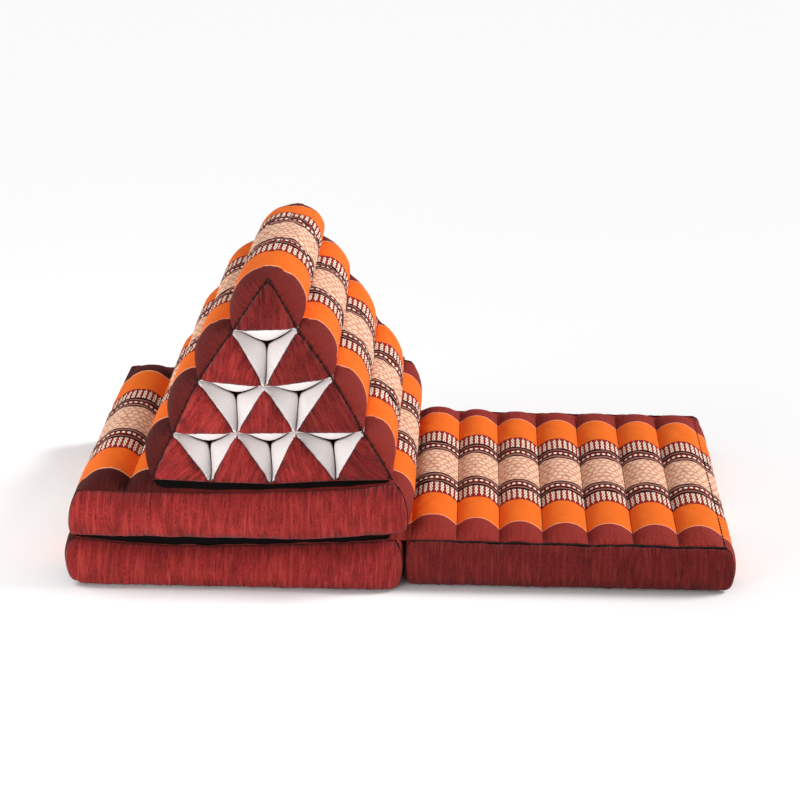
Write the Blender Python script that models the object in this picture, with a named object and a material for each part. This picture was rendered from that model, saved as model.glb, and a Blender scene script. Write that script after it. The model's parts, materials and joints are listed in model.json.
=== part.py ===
"""A Thai triangle cushion with three folding pads, in metres, +Z up.

Three channelled pads are folded in a zigzag: the seat pad lies flat on the right, and the middle pad and
the upper pad lie on each other on the left. A stack of ten stuffed rolls stands on them as a triangular
backrest. Each roll is full and round along its length and is drawn in to a flat triangle at both ends,
which leaves three-sided pockets between the end triangles.
"""

import math
from collections import namedtuple

import bmesh
import bpy
from mathutils import Vector

# Pieces that touch keep this gap
GAP = 0.0003

# Cloths: colour and roughness
STRIPED_CLOTH = ((0.86, 0.33, 0.10), 0.75)
END_CLOTH = ((0.36, 0.06, 0.05), 0.80)

# Pads: every pad is sewn into seven channels that run from front to back
PAD_DEPTH = 0.500
CHANNEL_DIP = 0.015
UNDERSIDE_DIP = 0.008
EDGE_ROUNDING = 0.040
EDGE_RISE = 0.003
CORNER_ROUNDING = 0.035
CORNER_FULLNESS = 0.7

# One channel: part of its width, part of its crown above, part of its crown below
ChannelPoint = namedtuple("ChannelPoint", "across above below")
CHANNEL = (
    ChannelPoint(0.00, 0.00, 0.00),
    ChannelPoint(0.12, 0.62, 0.80),
    ChannelPoint(0.35, 1.00, 1.00),
    ChannelPoint(0.65, 1.00, 1.00),
    ChannelPoint(0.88, 0.62, 0.80),
)
COLUMNS = 7 * len(CHANNEL)

# Stations of a pad from its front seam to its back seam
NEAR_SEAM = (0.0, 0.006, 0.016, 0.032, 0.055)
PAD_STATIONS = NEAR_SEAM + tuple(PAD_DEPTH - d for d in reversed(NEAR_SEAM))
ROWS = len(PAD_STATIONS) - 1

# Walls of a pad from the lower seam to the upper seam: part of the height, part of the bulge
WallPoint = namedtuple("WallPoint", "up bulge")
WALL = (WallPoint(0.0, 0.0), WallPoint(0.22, 0.85), WallPoint(0.62, 0.95), WallPoint(1.0, 0.0))
LEVELS = len(WALL) - 1

# A pad at each sewn line: place, underside, crown and upper seam of its front
Line = namedtuple("Line", "x under crown seam")

# A foot is how far a lower seam stands off from the upper one, left, right and front are the bulges of
# the walls, and a pinch is the dip at the left edge
Pad = namedtuple("Pad", "name lines foot_left foot_right foot_front left right front pinch_under pinch_above")

SEAT_PAD = Pad(
    name="pad_seat",
    lines=(
        Line(0.000, 0.000, 0.088, 0.068),
        Line(0.066, 0.000, 0.085, 0.068),
        Line(0.128, 0.000, 0.079, 0.067),
        Line(0.191, 0.000, 0.077, 0.067),
        Line(0.256, 0.000, 0.077, 0.066),
        Line(0.321, 0.000, 0.077, 0.067),
        Line(0.386, 0.000, 0.077, 0.066),
        Line(0.451, 0.000, 0.075, 0.066),
    ),
    foot_left=0.000, foot_right=0.002, foot_front=0.004,
    left=0.009, right=0.016, front=0.010,
    pinch_under=UNDERSIDE_DIP, pinch_above=CHANNEL_DIP,
)

# The walls of the middle pad and the seat pad press on each other; the upper pad is sewn to its left edge
MIDDLE_PAD = Pad(
    name="pad_middle",
    lines=(
        Line(-0.484, 0.000, 0.0690, 0.0640),
        Line(-0.408, 0.000, 0.0690, 0.0560),
        Line(-0.345, 0.000, 0.0690, 0.0530),
        Line(-0.281, 0.000, 0.0690, 0.0540),
        Line(-0.217, 0.000, 0.0690, 0.0570),
        Line(-0.153, 0.000, 0.0690, 0.0600),
        Line(-0.088, 0.000, 0.0720, 0.0640),
        Line(-0.022, 0.000, 0.0760, 0.0690),
    ),
    foot_left=0.006, foot_right=0.000, foot_front=0.024,
    left=0.020, right=0.0141, front=0.016,
    pinch_under=UNDERSIDE_DIP, pinch_above=0.0015,
)
UPPER_PAD = Pad(
    name="pad_upper",
    lines=(
        Line(-0.474, 0.0693, 0.1500, 0.1380),
        Line(-0.408, 0.0693, 0.1500, 0.1360),
        Line(-0.345, 0.0693, 0.1512, 0.1365),
        Line(-0.281, 0.0693, 0.1492, 0.1375),
        Line(-0.217, 0.0693, 0.1483, 0.1405),
        Line(-0.153, 0.0693, 0.1515, 0.1440),
        Line(-0.088, 0.0745, 0.1555, 0.1480),
        Line(-0.024, 0.0815, 0.1580, 0.1570),
    ),
    foot_left=-0.010, foot_right=0.009, foot_front=0.006,
    left=0.012, right=0.021, front=0.020,
    pinch_under=0.001, pinch_above=CHANNEL_DIP,
)

# End panels: sheets of plain cloth over the front and back walls of a pad
PANEL_THICKNESS = 0.002
PANEL_GAP = 0.0005

# Triangle: rolls in rows of one, two, three and four, whose sewn ends meet at the points of a lattice
LATTICE_ROWS = 4
ROLL_SIDE = 0.0883
ROW_HEIGHT = 0.0760
TRIANGLE_CENTRE = -0.2023
TRIANGLE_BASE = 0.154
END_PLANE = 0.2437
REAR_SIZE = 0.93
REAR_LEAN = 0.005

# How far each lattice point has slipped to the side and up, in millimetres, from the apex down
LATTICE_SLIP = (
    ((4, 0),),
    ((-3, -1), (-1, 3)),
    ((-9, 0), (-4, -8), (3, 7)),
    ((-3, -5), (-1, -3), (-6, 0), (2, 2)),
    ((9, 1), (4, -2), (3, -3), (6, 4), (-1, 7)),
)

# Rolls: the bulge of an outer side, the depth of the pockets and the length over which the ends fill out
ROLL_BULGE = 0.029
POCKET_DEPTH = 0.030
ROUND_END = 0.045
ROUND_REAR_END = 0.063
BASE_END = 0.010
BASE_TUCK = 0.006
POCKET_SHUT = 0.97
POCKET_OPEN = 0.02
ROLL_INSET = 0.0002
ROLL_STATIONS = (0.0, 0.004, 0.010, 0.019, 0.030, ROUND_END)
REAR_STATIONS = (0.0, 0.005, 0.013, 0.026, 0.040, ROUND_REAR_END)
ARC_POINTS = 8
ARC_FULLNESS = 0.6

# Sewn-on end triangles
CAP_THICKNESS = 0.002
CAP_DOME = 0.003
CAP_INSET = 0.0006
DOME_RING = 0.55
DOME_RING_HEIGHT = 0.8


def clear_scene():
    for obj in list(bpy.data.objects):
        bpy.data.objects.remove(obj, do_unlink=True)


def add_piece(name, bm, cloth, parent):
    """Turn a finished bmesh into a named object with its own material."""
    bmesh.ops.triangulate(bm, faces=bm.faces[:], quad_method="SHORT_EDGE")
    bmesh.ops.recalc_face_normals(bm, faces=bm.faces[:])
    mesh = bpy.data.meshes.new(name)
    bm.to_mesh(mesh)
    bm.free()
    colour, roughness = cloth
    material = bpy.data.materials.new(name + "_cloth")
    material.use_nodes = True
    shader = material.node_tree.nodes["Principled BSDF"]
    shader.inputs["Base Color"].default_value = (*colour, 1.0)
    shader.inputs["Roughness"].default_value = roughness
    shader.inputs["Metallic"].default_value = 0.0
    mesh.materials.append(material)
    mesh.shade_smooth()
    obj = bpy.data.objects.new(name, mesh)
    bpy.context.scene.collection.objects.link(obj)
    obj.parent = parent
    return obj


def mix(a, b, part):
    return a + (b - a) * part


def fill_out(distance, length):
    """Part of the full height that a stuffed edge has reached at a distance from its seam."""
    part = min(1.0, max(0.0, distance / length))
    return math.sqrt(1.0 - (1.0 - part) ** 2)


def fade(distance, length):
    return max(0.0, 1.0 - distance / length) ** 2


# Pads

def pad_column(pad, i):
    """Place and heights of a pad at its column i, which lies on a sewn line or inside a channel."""
    channel, step = divmod(i, len(CHANNEL))
    channel = min(channel, len(pad.lines) - 2)
    point = CHANNEL[step] if i < COLUMNS else ChannelPoint(1.0, 0.0, 0.0)
    a, b = pad.lines[channel], pad.lines[channel + 1]
    line = Line(*(mix(low, high, point.across) for low, high in zip(a, b)))
    return line, point


def pad_top(pad, i, inward):
    line, point = pad_column(pad, i)
    filled = fill_out(inward, EDGE_ROUNDING)
    dip = pad.pinch_above if i == 0 else CHANNEL_DIP
    return mix(line.seam, line.crown - dip * (1.0 - point.above), filled)


def pad_bottom(pad, i, inward):
    line, point = pad_column(pad, i)
    filled = fill_out(inward, EDGE_ROUNDING)
    rise = pad.pinch_under if i == 0 else UNDERSIDE_DIP
    return line.under + mix(EDGE_RISE, rise * (1.0 - point.below), filled)


def pad_point(pad, i, j, k):
    """Place of a pad's surface point at column i, row j and level k."""
    line, _ = pad_column(pad, i)
    along = PAD_STATIONS[j]
    inward = min(along, PAD_DEPTH - along)
    left, right = pad.lines[0].x, pad.lines[-1].x
    wall = WALL[k]
    low = 1.0 - wall.up
    aside = min(line.x - left, right - line.x)
    front_part = mix(CORNER_FULLNESS, 1.0, fill_out(aside, CORNER_ROUNDING))
    y = along - PAD_DEPTH / 2
    end = -1.0 if y < 0 else 1.0
    y += end * fade(inward, NEAR_SEAM[-1]) * pad.foot_front * low * front_part
    y += end * fade(inward, CORNER_ROUNDING) * pad.front * wall.bulge * front_part
    x = line.x + fade(line.x - left, CORNER_ROUNDING) * pad.foot_left * low
    x += fade(right - line.x, CORNER_ROUNDING) * pad.foot_right * low
    z = mix(pad_bottom(pad, i, inward), pad_top(pad, i, inward), wall.up)
    side_part = mix(CORNER_FULLNESS, 1.0, fill_out(inward, CORNER_ROUNDING))
    x -= wall.bulge * pad.left * fade(line.x - left, CORNER_ROUNDING) * side_part
    x += wall.bulge * pad.right * fade(right - line.x, CORNER_ROUNDING) * side_part
    return Vector((x, y, z))


def make_pad(pad, parent):
    """Cut a block into columns, rows and levels, then move each point to the filled pad's surface."""
    bm = bmesh.new()
    bmesh.ops.create_cube(bm, size=1.0)
    counts = Vector((COLUMNS, ROWS, LEVELS))
    for vert in bm.verts:
        vert.co = Vector((vert.co[n] + 0.5) * counts[n] for n in range(3))
    for axis, count in enumerate((COLUMNS, ROWS, LEVELS)):
        normal = Vector((axis == 0, axis == 1, axis == 2))
        for step in range(1, count):
            everything = bm.verts[:] + bm.edges[:] + bm.faces[:]
            bmesh.ops.bisect_plane(bm, geom=everything, plane_co=normal * step, plane_no=normal)
    for vert in bm.verts:
        vert.co = pad_point(pad, *(round(value) for value in vert.co))
    return add_piece(pad.name, bm, STRIPED_CLOTH, parent)


def sheet_between(bm, inner, outer):
    """Close the space between two equal grids of points into one thin sheet."""
    rows, columns = len(inner), len(inner[0])
    near = [[bm.verts.new(p) for p in row] for row in inner]
    far = [[bm.verts.new(p) for p in row] for row in outer]
    for a in range(rows - 1):
        for b in range(columns - 1):
            bm.faces.new((near[a][b], near[a][b + 1], near[a + 1][b + 1], near[a + 1][b]))
            bm.faces.new((far[a][b], far[a + 1][b], far[a + 1][b + 1], far[a][b + 1]))
    rim = [(0, b) for b in range(columns)] + [(a, columns - 1) for a in range(1, rows)]
    rim += [(rows - 1, b) for b in range(columns - 2, -1, -1)] + [(a, 0) for a in range(rows - 2, 0, -1)]
    for (a, b), (c, d) in zip(rim, rim[1:] + rim[:1]):
        bm.faces.new((near[a][b], far[a][b], far[c][d], near[c][d]))


def make_panel(pad, name, row, parent):
    """A sheet that lies over the front or back wall of a pad, between its two seams."""
    out = -1.0 if row == 0 else 1.0
    inner, outer = [], []
    for k in range(LEVELS + 1):
        wall = [pad_point(pad, i, row, k) for i in range(COLUMNS + 1)]
        inner.append([p + Vector((0.0, out * PANEL_GAP, 0.0)) for p in wall])
        outer.append([p + Vector((0.0, out * (PANEL_GAP + PANEL_THICKNESS), 0.0)) for p in wall])
    bm = bmesh.new()
    sheet_between(bm, inner, outer)
    return add_piece(name, bm, END_CLOTH, parent)


# Triangle

def lattice_point(row, place, y):
    """A corner where the ends of the rolls meet; the stack is a little smaller at its rear and leans there."""
    slip_x, slip_z = LATTICE_SLIP[row][place]
    x = (place - row / 2) * ROLL_SIDE + slip_x / 1000
    z = (LATTICE_ROWS - row) * ROW_HEIGHT + slip_z / 1000
    rear = (y + END_PLANE) / (2 * END_PLANE)
    change = rear * (LATTICE_ROWS - row) / LATTICE_ROWS
    size = mix(1.0, REAR_SIZE, change)
    return Vector((TRIANGLE_CENTRE + REAR_LEAN * change + x * size, y, TRIANGLE_BASE + z * size))


def pocket_centre(row, place, y):
    """The middle of the downward triangle under lattice row `row`, where three rolls meet."""
    corners = ((row, place), (row, place + 1), (row + 1, place + 1))
    return sum((lattice_point(r, p, y) for r, p in corners), Vector()) / 3


def bed_height(x):
    """Height of the upper pad's crown under the stack of rolls."""
    for a, b in zip(UPPER_PAD.lines, UPPER_PAD.lines[1:]):
        if x <= b.x:
            return mix(a.crown, b.crown, (x - a.x) / (b.x - a.x))
    return UPPER_PAD.lines[-1].crown


def pocket_side(a, b, centre, depth):
    """A side that leans over a pocket until it lies on its neighbours' sides."""
    part = mix(POCKET_OPEN, POCKET_SHUT, min(1.0, depth / POCKET_DEPTH))
    return [a, a.lerp(centre, part), b.lerp(centre, part)]


def outer_side(a, b, outward, depth):
    """A side on the slope of the triangle, flat at the seam and round along the roll."""
    bulge = ROLL_BULGE * fill_out(depth, ROUND_END if a.y < 0 else ROUND_REAR_END)
    points = []
    for step in range(ARC_POINTS):
        part = step / ARC_POINTS
        points.append(a.lerp(b, part) + outward * bulge * (4 * part * (1 - part)) ** ARC_FULLNESS)
    return points


def base_side(a, b, depth, y):
    """The underside of a bottom roll, which lies on the upper pad's crown."""
    near, far = a.x + BASE_TUCK, b.x - BASE_TUCK
    stops = [near] + [line.x for line in UPPER_PAD.lines if near < line.x < far] + [far]
    pressed = fill_out(depth, BASE_END)
    points = [a]
    for x in stops:
        seam = mix(a.z, b.z, (x - a.x) / (b.x - a.x))
        points.append(Vector((x, y, mix(seam, bed_height(x) + GAP, pressed))))
    return points


def roll_section(row, place, depth, y):
    """The closed outline of a roll at one station, counter-clockwise from its top corner."""
    top = lattice_point(row, place, y)
    left = lattice_point(row + 1, place, y)
    right = lattice_point(row + 1, place + 1, y)
    if place == 0:
        outward = Vector((top.z - left.z, 0.0, left.x - top.x)).normalized() * -1.0
        outline = outer_side(top, left, outward, depth)
    else:
        outline = pocket_side(top, left, pocket_centre(row, place - 1, y), depth)
    if row == LATTICE_ROWS - 1:
        outline += base_side(left, right, depth, y)
    else:
        outline += pocket_side(left, right, pocket_centre(row + 1, place, y), depth)
    if place == row:
        outward = Vector((top.z - right.z, 0.0, right.x - top.x)).normalized()
        outline += outer_side(right, top, outward, depth)
    else:
        outline += pocket_side(right, top, pocket_centre(row, place, y), depth)
    middle = (top + left + right) / 3
    inset = 1.0 - ROLL_INSET / (ROLL_SIDE / 2)
    return [middle + (p - middle) * inset for p in outline], middle


def dome_rings(outline, middle, out):
    """Points of the inner ring and of the centre of a slightly domed end."""
    raised = Vector((0.0, out * CAP_DOME, 0.0))
    ring = [middle + (p - middle) * DOME_RING + raised * DOME_RING_HEIGHT for p in outline]
    return ring, middle + raised


def make_roll(row, place, parent):
    bm = bmesh.new()
    stations = [(d, d - END_PLANE) for d in ROLL_STATIONS]
    stations += [(d, END_PLANE - d) for d in reversed(REAR_STATIONS)]
    sections = [roll_section(row, place, depth, y) for depth, y in stations]
    rings = []
    front_ring, front_tip = dome_rings(*sections[0], -1.0)
    back_ring, back_tip = dome_rings(*sections[-1], 1.0)
    for points in [front_ring] + [outline for outline, _ in sections] + [back_ring]:
        rings.append([bm.verts.new(p) for p in points])
    for near, far in zip(rings, rings[1:]):
        for n in range(len(near)):
            m = (n + 1) % len(near)
            bm.faces.new((near[n], near[m], far[m], far[n]))
    for ring, tip in ((rings[0], front_tip), (rings[-1], back_tip)):
        centre = bm.verts.new(tip)
        for n in range(len(ring)):
            bm.faces.new((ring[n], ring[(n + 1) % len(ring)], centre))
    return add_piece(f"roll_{row + 1}_{place + 1}", bm, STRIPED_CLOTH, parent)


def make_cap(row, place, out, side, parent):
    """The sewn triangle that closes one end of a roll: a thin, slightly domed sheet."""
    y = out * END_PLANE
    corners = [lattice_point(r, p, y) for r, p in ((row, place), (row + 1, place), (row + 1, place + 1))]
    middle = sum(corners, Vector()) / 3
    inset = 1.0 - CAP_INSET / (ROLL_SIDE / 4)
    outline = [middle + (p - middle) * inset for p in corners]
    ring, tip = dome_rings(outline, middle, out)
    bm = bmesh.new()
    layers = []
    for offset in (GAP, GAP + CAP_THICKNESS):
        shift = Vector((0.0, out * offset, 0.0))
        rim = [bm.verts.new(p + shift) for p in outline]
        inner = [bm.verts.new(p + shift) for p in ring]
        centre = bm.verts.new(tip + shift)
        for n in range(3):
            m = (n + 1) % 3
            bm.faces.new((rim[n], rim[m], inner[m], inner[n]))
            bm.faces.new((inner[n], inner[m], centre))
        layers.append(rim)
    for n in range(3):
        m = (n + 1) % 3
        bm.faces.new((layers[0][n], layers[0][m], layers[1][m], layers[1][n]))
    return add_piece(f"end_{side}_{row + 1}_{place + 1}", bm, END_CLOTH, parent)


def centre_on_floor(root, pieces):
    """Move the whole cushion so that the middle of its box's base is the origin."""
    points = [vert.co for piece in pieces for vert in piece.data.vertices]
    for axis in range(2):
        values = [p[axis] for p in points]
        root.location[axis] = -(min(values) + max(values)) / 2
    root.location[2] = -min(p[2] for p in points)


def main():
    clear_scene()
    root = bpy.data.objects.new("cushion", None)
    bpy.context.scene.collection.objects.link(root)
    pieces = []
    for pad in (SEAT_PAD, MIDDLE_PAD, UPPER_PAD):
        pieces.append(make_pad(pad, root))
        label = pad.name.replace("pad", "panel")
        pieces.append(make_panel(pad, label + "_front", 0, root))
        pieces.append(make_panel(pad, label + "_back", ROWS, root))
    for row in range(LATTICE_ROWS):
        for place in range(row + 1):
            pieces.append(make_roll(row, place, root))
            pieces.append(make_cap(row, place, -1.0, "front", root))
            pieces.append(make_cap(row, place, 1.0, "back", root))
    centre_on_floor(root, pieces)


main()
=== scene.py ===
# %% [markdown]
# # A Thai triangle cushion
# Three stuffed pads are folded in a zigzag, and ten stuffed rolls stand on them as a triangular backrest.
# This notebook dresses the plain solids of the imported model: each pad and roll becomes a stuffed cloth cover
# with its woven stripes, and the ends, the white pockets, the seams and the stitches are added.
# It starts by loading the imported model, which stays fixed: every new piece is placed in its frame.

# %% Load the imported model
import json
import math
from collections import namedtuple

import bpy
import numpy as np
from mathutils import Matrix, Vector, noise

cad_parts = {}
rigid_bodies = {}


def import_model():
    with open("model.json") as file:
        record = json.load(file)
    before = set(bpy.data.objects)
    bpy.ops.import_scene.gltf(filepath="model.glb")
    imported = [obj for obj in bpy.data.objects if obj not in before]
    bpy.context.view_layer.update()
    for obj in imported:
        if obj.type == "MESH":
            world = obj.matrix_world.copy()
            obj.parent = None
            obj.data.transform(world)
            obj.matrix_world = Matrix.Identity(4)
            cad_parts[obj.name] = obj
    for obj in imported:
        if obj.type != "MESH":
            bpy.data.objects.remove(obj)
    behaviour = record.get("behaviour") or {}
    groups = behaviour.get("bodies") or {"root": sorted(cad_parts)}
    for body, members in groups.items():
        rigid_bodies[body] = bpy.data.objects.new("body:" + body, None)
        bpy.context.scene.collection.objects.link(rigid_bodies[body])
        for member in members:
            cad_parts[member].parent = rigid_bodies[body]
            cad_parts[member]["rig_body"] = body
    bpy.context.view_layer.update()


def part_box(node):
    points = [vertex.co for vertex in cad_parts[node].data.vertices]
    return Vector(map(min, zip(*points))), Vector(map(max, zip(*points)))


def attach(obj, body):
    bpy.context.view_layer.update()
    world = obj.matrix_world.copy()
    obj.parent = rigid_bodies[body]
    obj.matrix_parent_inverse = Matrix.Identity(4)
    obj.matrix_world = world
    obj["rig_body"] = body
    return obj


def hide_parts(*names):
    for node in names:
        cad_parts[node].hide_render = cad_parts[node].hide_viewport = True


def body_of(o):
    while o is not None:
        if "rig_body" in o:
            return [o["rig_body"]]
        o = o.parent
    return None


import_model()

# %% [markdown]
# ## Studio
# The cushion was photographed from in front and a little above, with a long lens, on white. The camera below
# repeats that place and tilt. The floor is one large pale plane. A broad sun behind on the right lights the
# right side of every channel, and a white sky fills the shadows. Two small soft lamps help it: one in front
# on the left reaches into the pockets, and one on the left lights the side that the triangle shades.

# %% Camera
LENS = 94.09
SENSOR = 36.0
CAMERA_PLACE = Vector((0.09591, -2.96387, 1.35731))
CAMERA_TILT = math.radians(21.5496)
CAMERA_TURN = math.radians(-2.0107)
CAMERA_ROLL = math.radians(0.3076)


def add_object(name, data):
    thing = bpy.data.objects.new(name, data)
    bpy.context.scene.collection.objects.link(thing)
    return thing


def add_camera():
    tilt, turn, roll = CAMERA_TILT, CAMERA_TURN, CAMERA_ROLL
    ahead = Vector((math.sin(turn) * math.cos(tilt), math.cos(turn) * math.cos(tilt), -math.sin(tilt)))
    level = Vector((math.cos(turn), -math.sin(turn), 0.0))
    above = level.cross(ahead)
    right = math.cos(roll) * level + math.sin(roll) * above
    up = -math.sin(roll) * level + math.cos(roll) * above
    data = bpy.data.cameras.new("camera")
    data.lens = LENS
    data.sensor_width = SENSOR
    camera = add_object("camera", data)
    camera.matrix_world = Matrix.Translation(CAMERA_PLACE) @ Matrix((right, up, -ahead)).transposed().to_4x4()
    bpy.context.scene.camera = camera
    return camera


camera = add_camera()
print("camera stands at", [round(value, 3) for value in camera.location])


# %% Floor and light
FLOOR_SIZE = 40.0
FLOOR_WHITE = 0.95
SKY_STRENGTH = 0.45
DYE_DEPTH = 0.85


def dye(red, green, blue):
    """A colour as seen on a screen, 0 to 255, made linear and kept a little under the floor's white."""
    return tuple((value / 255) ** 2.2 * DYE_DEPTH for value in (red, green, blue)) + (1.0,)


def add_light(name, kind, place, aim, power, size):
    """A light aimed from a place at a point. A lamp's size is in metres, and a sun's is in degrees."""
    data = bpy.data.lights.new(name, kind)
    data.energy = power
    if kind == "SUN":
        data.angle = math.radians(size)
    else:
        data.size = size
    light = add_object(name, data)
    light.location = place
    light.rotation_euler = (Vector(place) - Vector(aim)).to_track_quat("Z", "Y").to_euler()
    light.visible_camera = kind == "SUN"


def add_floor():
    bpy.ops.object.select_all(action="DESELECT")
    bpy.ops.mesh.primitive_plane_add(size=FLOOR_SIZE, location=(0.0, 0.0, 0.0))
    floor = bpy.context.object
    floor.name = "floor"
    paint = bpy.data.materials.new("floor_paint")
    paint.use_nodes = True
    shader = paint.node_tree.nodes["Principled BSDF"]
    shader.inputs["Base Color"].default_value = (FLOOR_WHITE, FLOOR_WHITE, FLOOR_WHITE, 1.0)
    shader.inputs["Roughness"].default_value = 0.9
    shader.inputs["Specular IOR Level"].default_value = 0.1
    floor.data.materials.append(paint)


add_floor()
sky = bpy.data.worlds.new("sky")
sky.use_nodes = True
sky.node_tree.nodes["Background"].inputs["Color"].default_value = (1.0, 1.0, 1.0, 1.0)
sky.node_tree.nodes["Background"].inputs["Strength"].default_value = SKY_STRENGTH
bpy.context.scene.world = sky
bpy.context.scene.view_settings.view_transform = "Standard"
add_light("rear_sun", "SUN", (1.0, 0.25, 0.80), (0.0, 0.0, 0.0), 2.9, 20)
add_light("front_lamp", "AREA", (-0.55, -1.30, 0.30), (-0.25, 0.0, 0.12), 8.0, 0.5)
add_light("left_lamp", "AREA", (-0.88, -0.14, 0.60), (-0.44, -0.05, 0.15), 2.6, 0.45)
print("floor", FLOOR_SIZE, "m, sky", SKY_STRENGTH)

# %% [markdown]
# ## Cloths
# A cloth's pattern runs with its threads, so every cover carries a map of the flat cloth in metres: u runs
# around a pad or a roll, and v runs along it, from 0 in the middle. A material reads that map and computes
# the stripes, the woven figures and the weave. The small class below only shortens the making of nodes.


# %% A bench for making cloth materials
class Loom:
    """A material in the making: each method adds nodes and returns an output."""

    def __init__(self, name, roughness=0.8, sheen=0.25):
        self.material = bpy.data.materials.new(name)
        self.material.use_nodes = True
        self.nodes = self.material.node_tree.nodes
        self.links = self.material.node_tree.links
        self.shader = self.nodes["Principled BSDF"]
        self.shader.inputs["Roughness"].default_value = roughness
        self.shader.inputs["Specular IOR Level"].default_value = 0.15
        self.shader.inputs["Sheen Weight"].default_value = sheen
        self.shader.inputs["Sheen Roughness"].default_value = 0.5

    def join(self, socket, value):
        if isinstance(value, bpy.types.NodeSocket):
            self.links.new(value, socket)
        else:
            socket.default_value = value

    def node(self, kind, output, inputs, **settings):
        """Add a node with its settings and inputs, and return one of its outputs."""
        node = self.nodes.new("ShaderNode" + kind)
        for key, value in settings.items():
            setattr(node, key, value)
        for key, value in inputs.items():
            self.join(node.inputs[key], value)
        return node.outputs[output]

    def math(self, operation, *values):
        return self.node("Math", 0, dict(enumerate(values)), operation=operation)

    def add(self, first, second):
        return self.math("ADD", first, second)

    def minus(self, first, second):
        return self.math("SUBTRACT", first, second)

    def times(self, first, second):
        return self.math("MULTIPLY", first, second)

    def over(self, first, second):
        return self.math("DIVIDE", first, second)

    def away(self, value):
        """How far a value is from zero."""
        return self.math("ABSOLUTE", value)

    def power(self, value, exponent):
        return self.math("POWER", value, exponent)

    def below(self, value, limit):
        """1 below the limit and 0 above it."""
        return self.math("LESS_THAN", value, limit)

    def in_repeat(self, value):
        """Where a value stands in its repeat, from -0.5 at the start to 0.5 at the end."""
        return self.minus(self.math("FRACT", value), 0.5)

    def swing(self, noise_value, size):
        """Noise from 0 to 1 turned into a swing around zero, at most half of size to each side."""
        return self.times(self.minus(noise_value, 0.5), size)

    def place(self, kind):
        """The parts of a place in metres, on the flat cloth with "UV" and in the piece with "Object"."""
        node = self.nodes.new("ShaderNodeSeparateXYZ")
        self.join(node.inputs[0], self.node("TexCoord", kind, {}))
        return tuple(node.outputs)

    def streaks(self, u, v, u_size, v_size, detail=2.0, roughness=0.5):
        """Noise whose grains are u_size by v_size metres on the cloth."""
        place = self.node("CombineXYZ", 0, {0: self.over(u, u_size), 1: self.over(v, v_size)})
        grain = {"Vector": place, "Scale": 1.0, "Detail": detail, "Roughness": roughness}
        return self.node("TexNoise", "Fac", grain)

    def between(self, value, low, high):
        """0 below low, 1 above high and a straight slope between them."""
        return self.node("MapRange", "Result", {"Value": value, "From Min": low, "From Max": high})

    def mix(self, part, first, second, blend="MIX"):
        return self.node("Mix", 2, {0: part, 6: first, 7: second}, data_type="RGBA", blend_type=blend)

    def grey(self, value):
        """A grey colour from one value."""
        return self.node("CombineXYZ", 0, {0: value, 1: value, 2: value})

    def stripes(self, value, edges, span):
        """Sharp bands of colour: edges is a list of (start, colour)."""
        node = self.nodes.new("ShaderNodeValToRGB")
        ramp = node.color_ramp
        ramp.interpolation = "CONSTANT"
        for start, colour in edges[1:]:
            ramp.elements.new(start / span).color = colour
        ramp.elements[0].color = edges[0][1]
        ramp.elements.remove(ramp.elements[-1])
        self.join(node.inputs[0], self.over(value, span))
        return node.outputs[0]

    def amount(self, name):
        """A value from 0 to 1 that the mesh carries, such as the pull of a nearby seam."""
        return self.node("Attribute", "Fac", {}, attribute_name=name)

    def finish(self, colour, height, depth):
        """Colour the cloth, raise its surface by height times depth metres and hand over the material."""
        self.join(self.shader.inputs["Normal"], self.node("Bump", 0, {"Height": height, "Distance": depth}))
        self.join(self.shader.inputs["Base Color"], colour)
        return self.material


# %% [markdown]
# ## Striped cloth
# The pads and the rolls are covered with the same cotton. From the middle outwards it has a brocade of small
# peach scales, a band of dark and pink lines around a row of cream dashes, a row of small cream figures on
# dark red, a plain orange band, a thin pale line and a dark red-brown end. The bands are a colour ramp over
# the distance from the middle, and the small repeats are charted with a few formulas.

# %% Sizes and dyes of the striped cloth
BROCADE_EDGE = 0.043
LINES_EDGE = 0.080
FIGURES_EDGE = 0.119
ORANGE_EDGE = 0.1955
PALE_EDGE = 0.1985
CLOTH_SPAN = 0.40
DASH_LINE = 0.0612
REPEAT = 0.0085
SCALE_WIDTH = 0.0110
SCALE_HEIGHT = 0.0125

PEACH = dye(254, 212, 184)
PEACH_LINE = dye(198, 118, 82)
CREAM = dye(255, 240, 216)
DARK_LINE = dye(28, 5, 7)
PINK_LINE = dye(180, 112, 102)
DASH_GROUND = dye(146, 38, 34)
FIGURE_GROUND = dye(148, 36, 32)
FIGURE_SHADE = dye(120, 44, 36)
ORANGE = dye(250, 115, 36)
PALE_LINE = dye(255, 186, 150)
# The dark end band has a shaded and a lit colour: painted shade on the left, painted light towards the right
RED_BROWN_SHADED = dye(78, 27, 25)
RED_BROWN_LIT = dye(148, 50, 44)

# Where each band starts, in metres from the middle of the cloth
BANDS = (
    (0.0, PEACH), (BROCADE_EDGE, DARK_LINE), (0.0478, PINK_LINE), (0.0517, DARK_LINE),
    (0.0567, DASH_GROUND), (0.0657, DARK_LINE), (0.0706, PINK_LINE), (0.0746, DARK_LINE),
    (LINES_EDGE, FIGURE_GROUND), (FIGURES_EDGE, ORANGE), (ORANGE_EDGE, PALE_LINE), (PALE_EDGE, RED_BROWN_SHADED),
)


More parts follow.
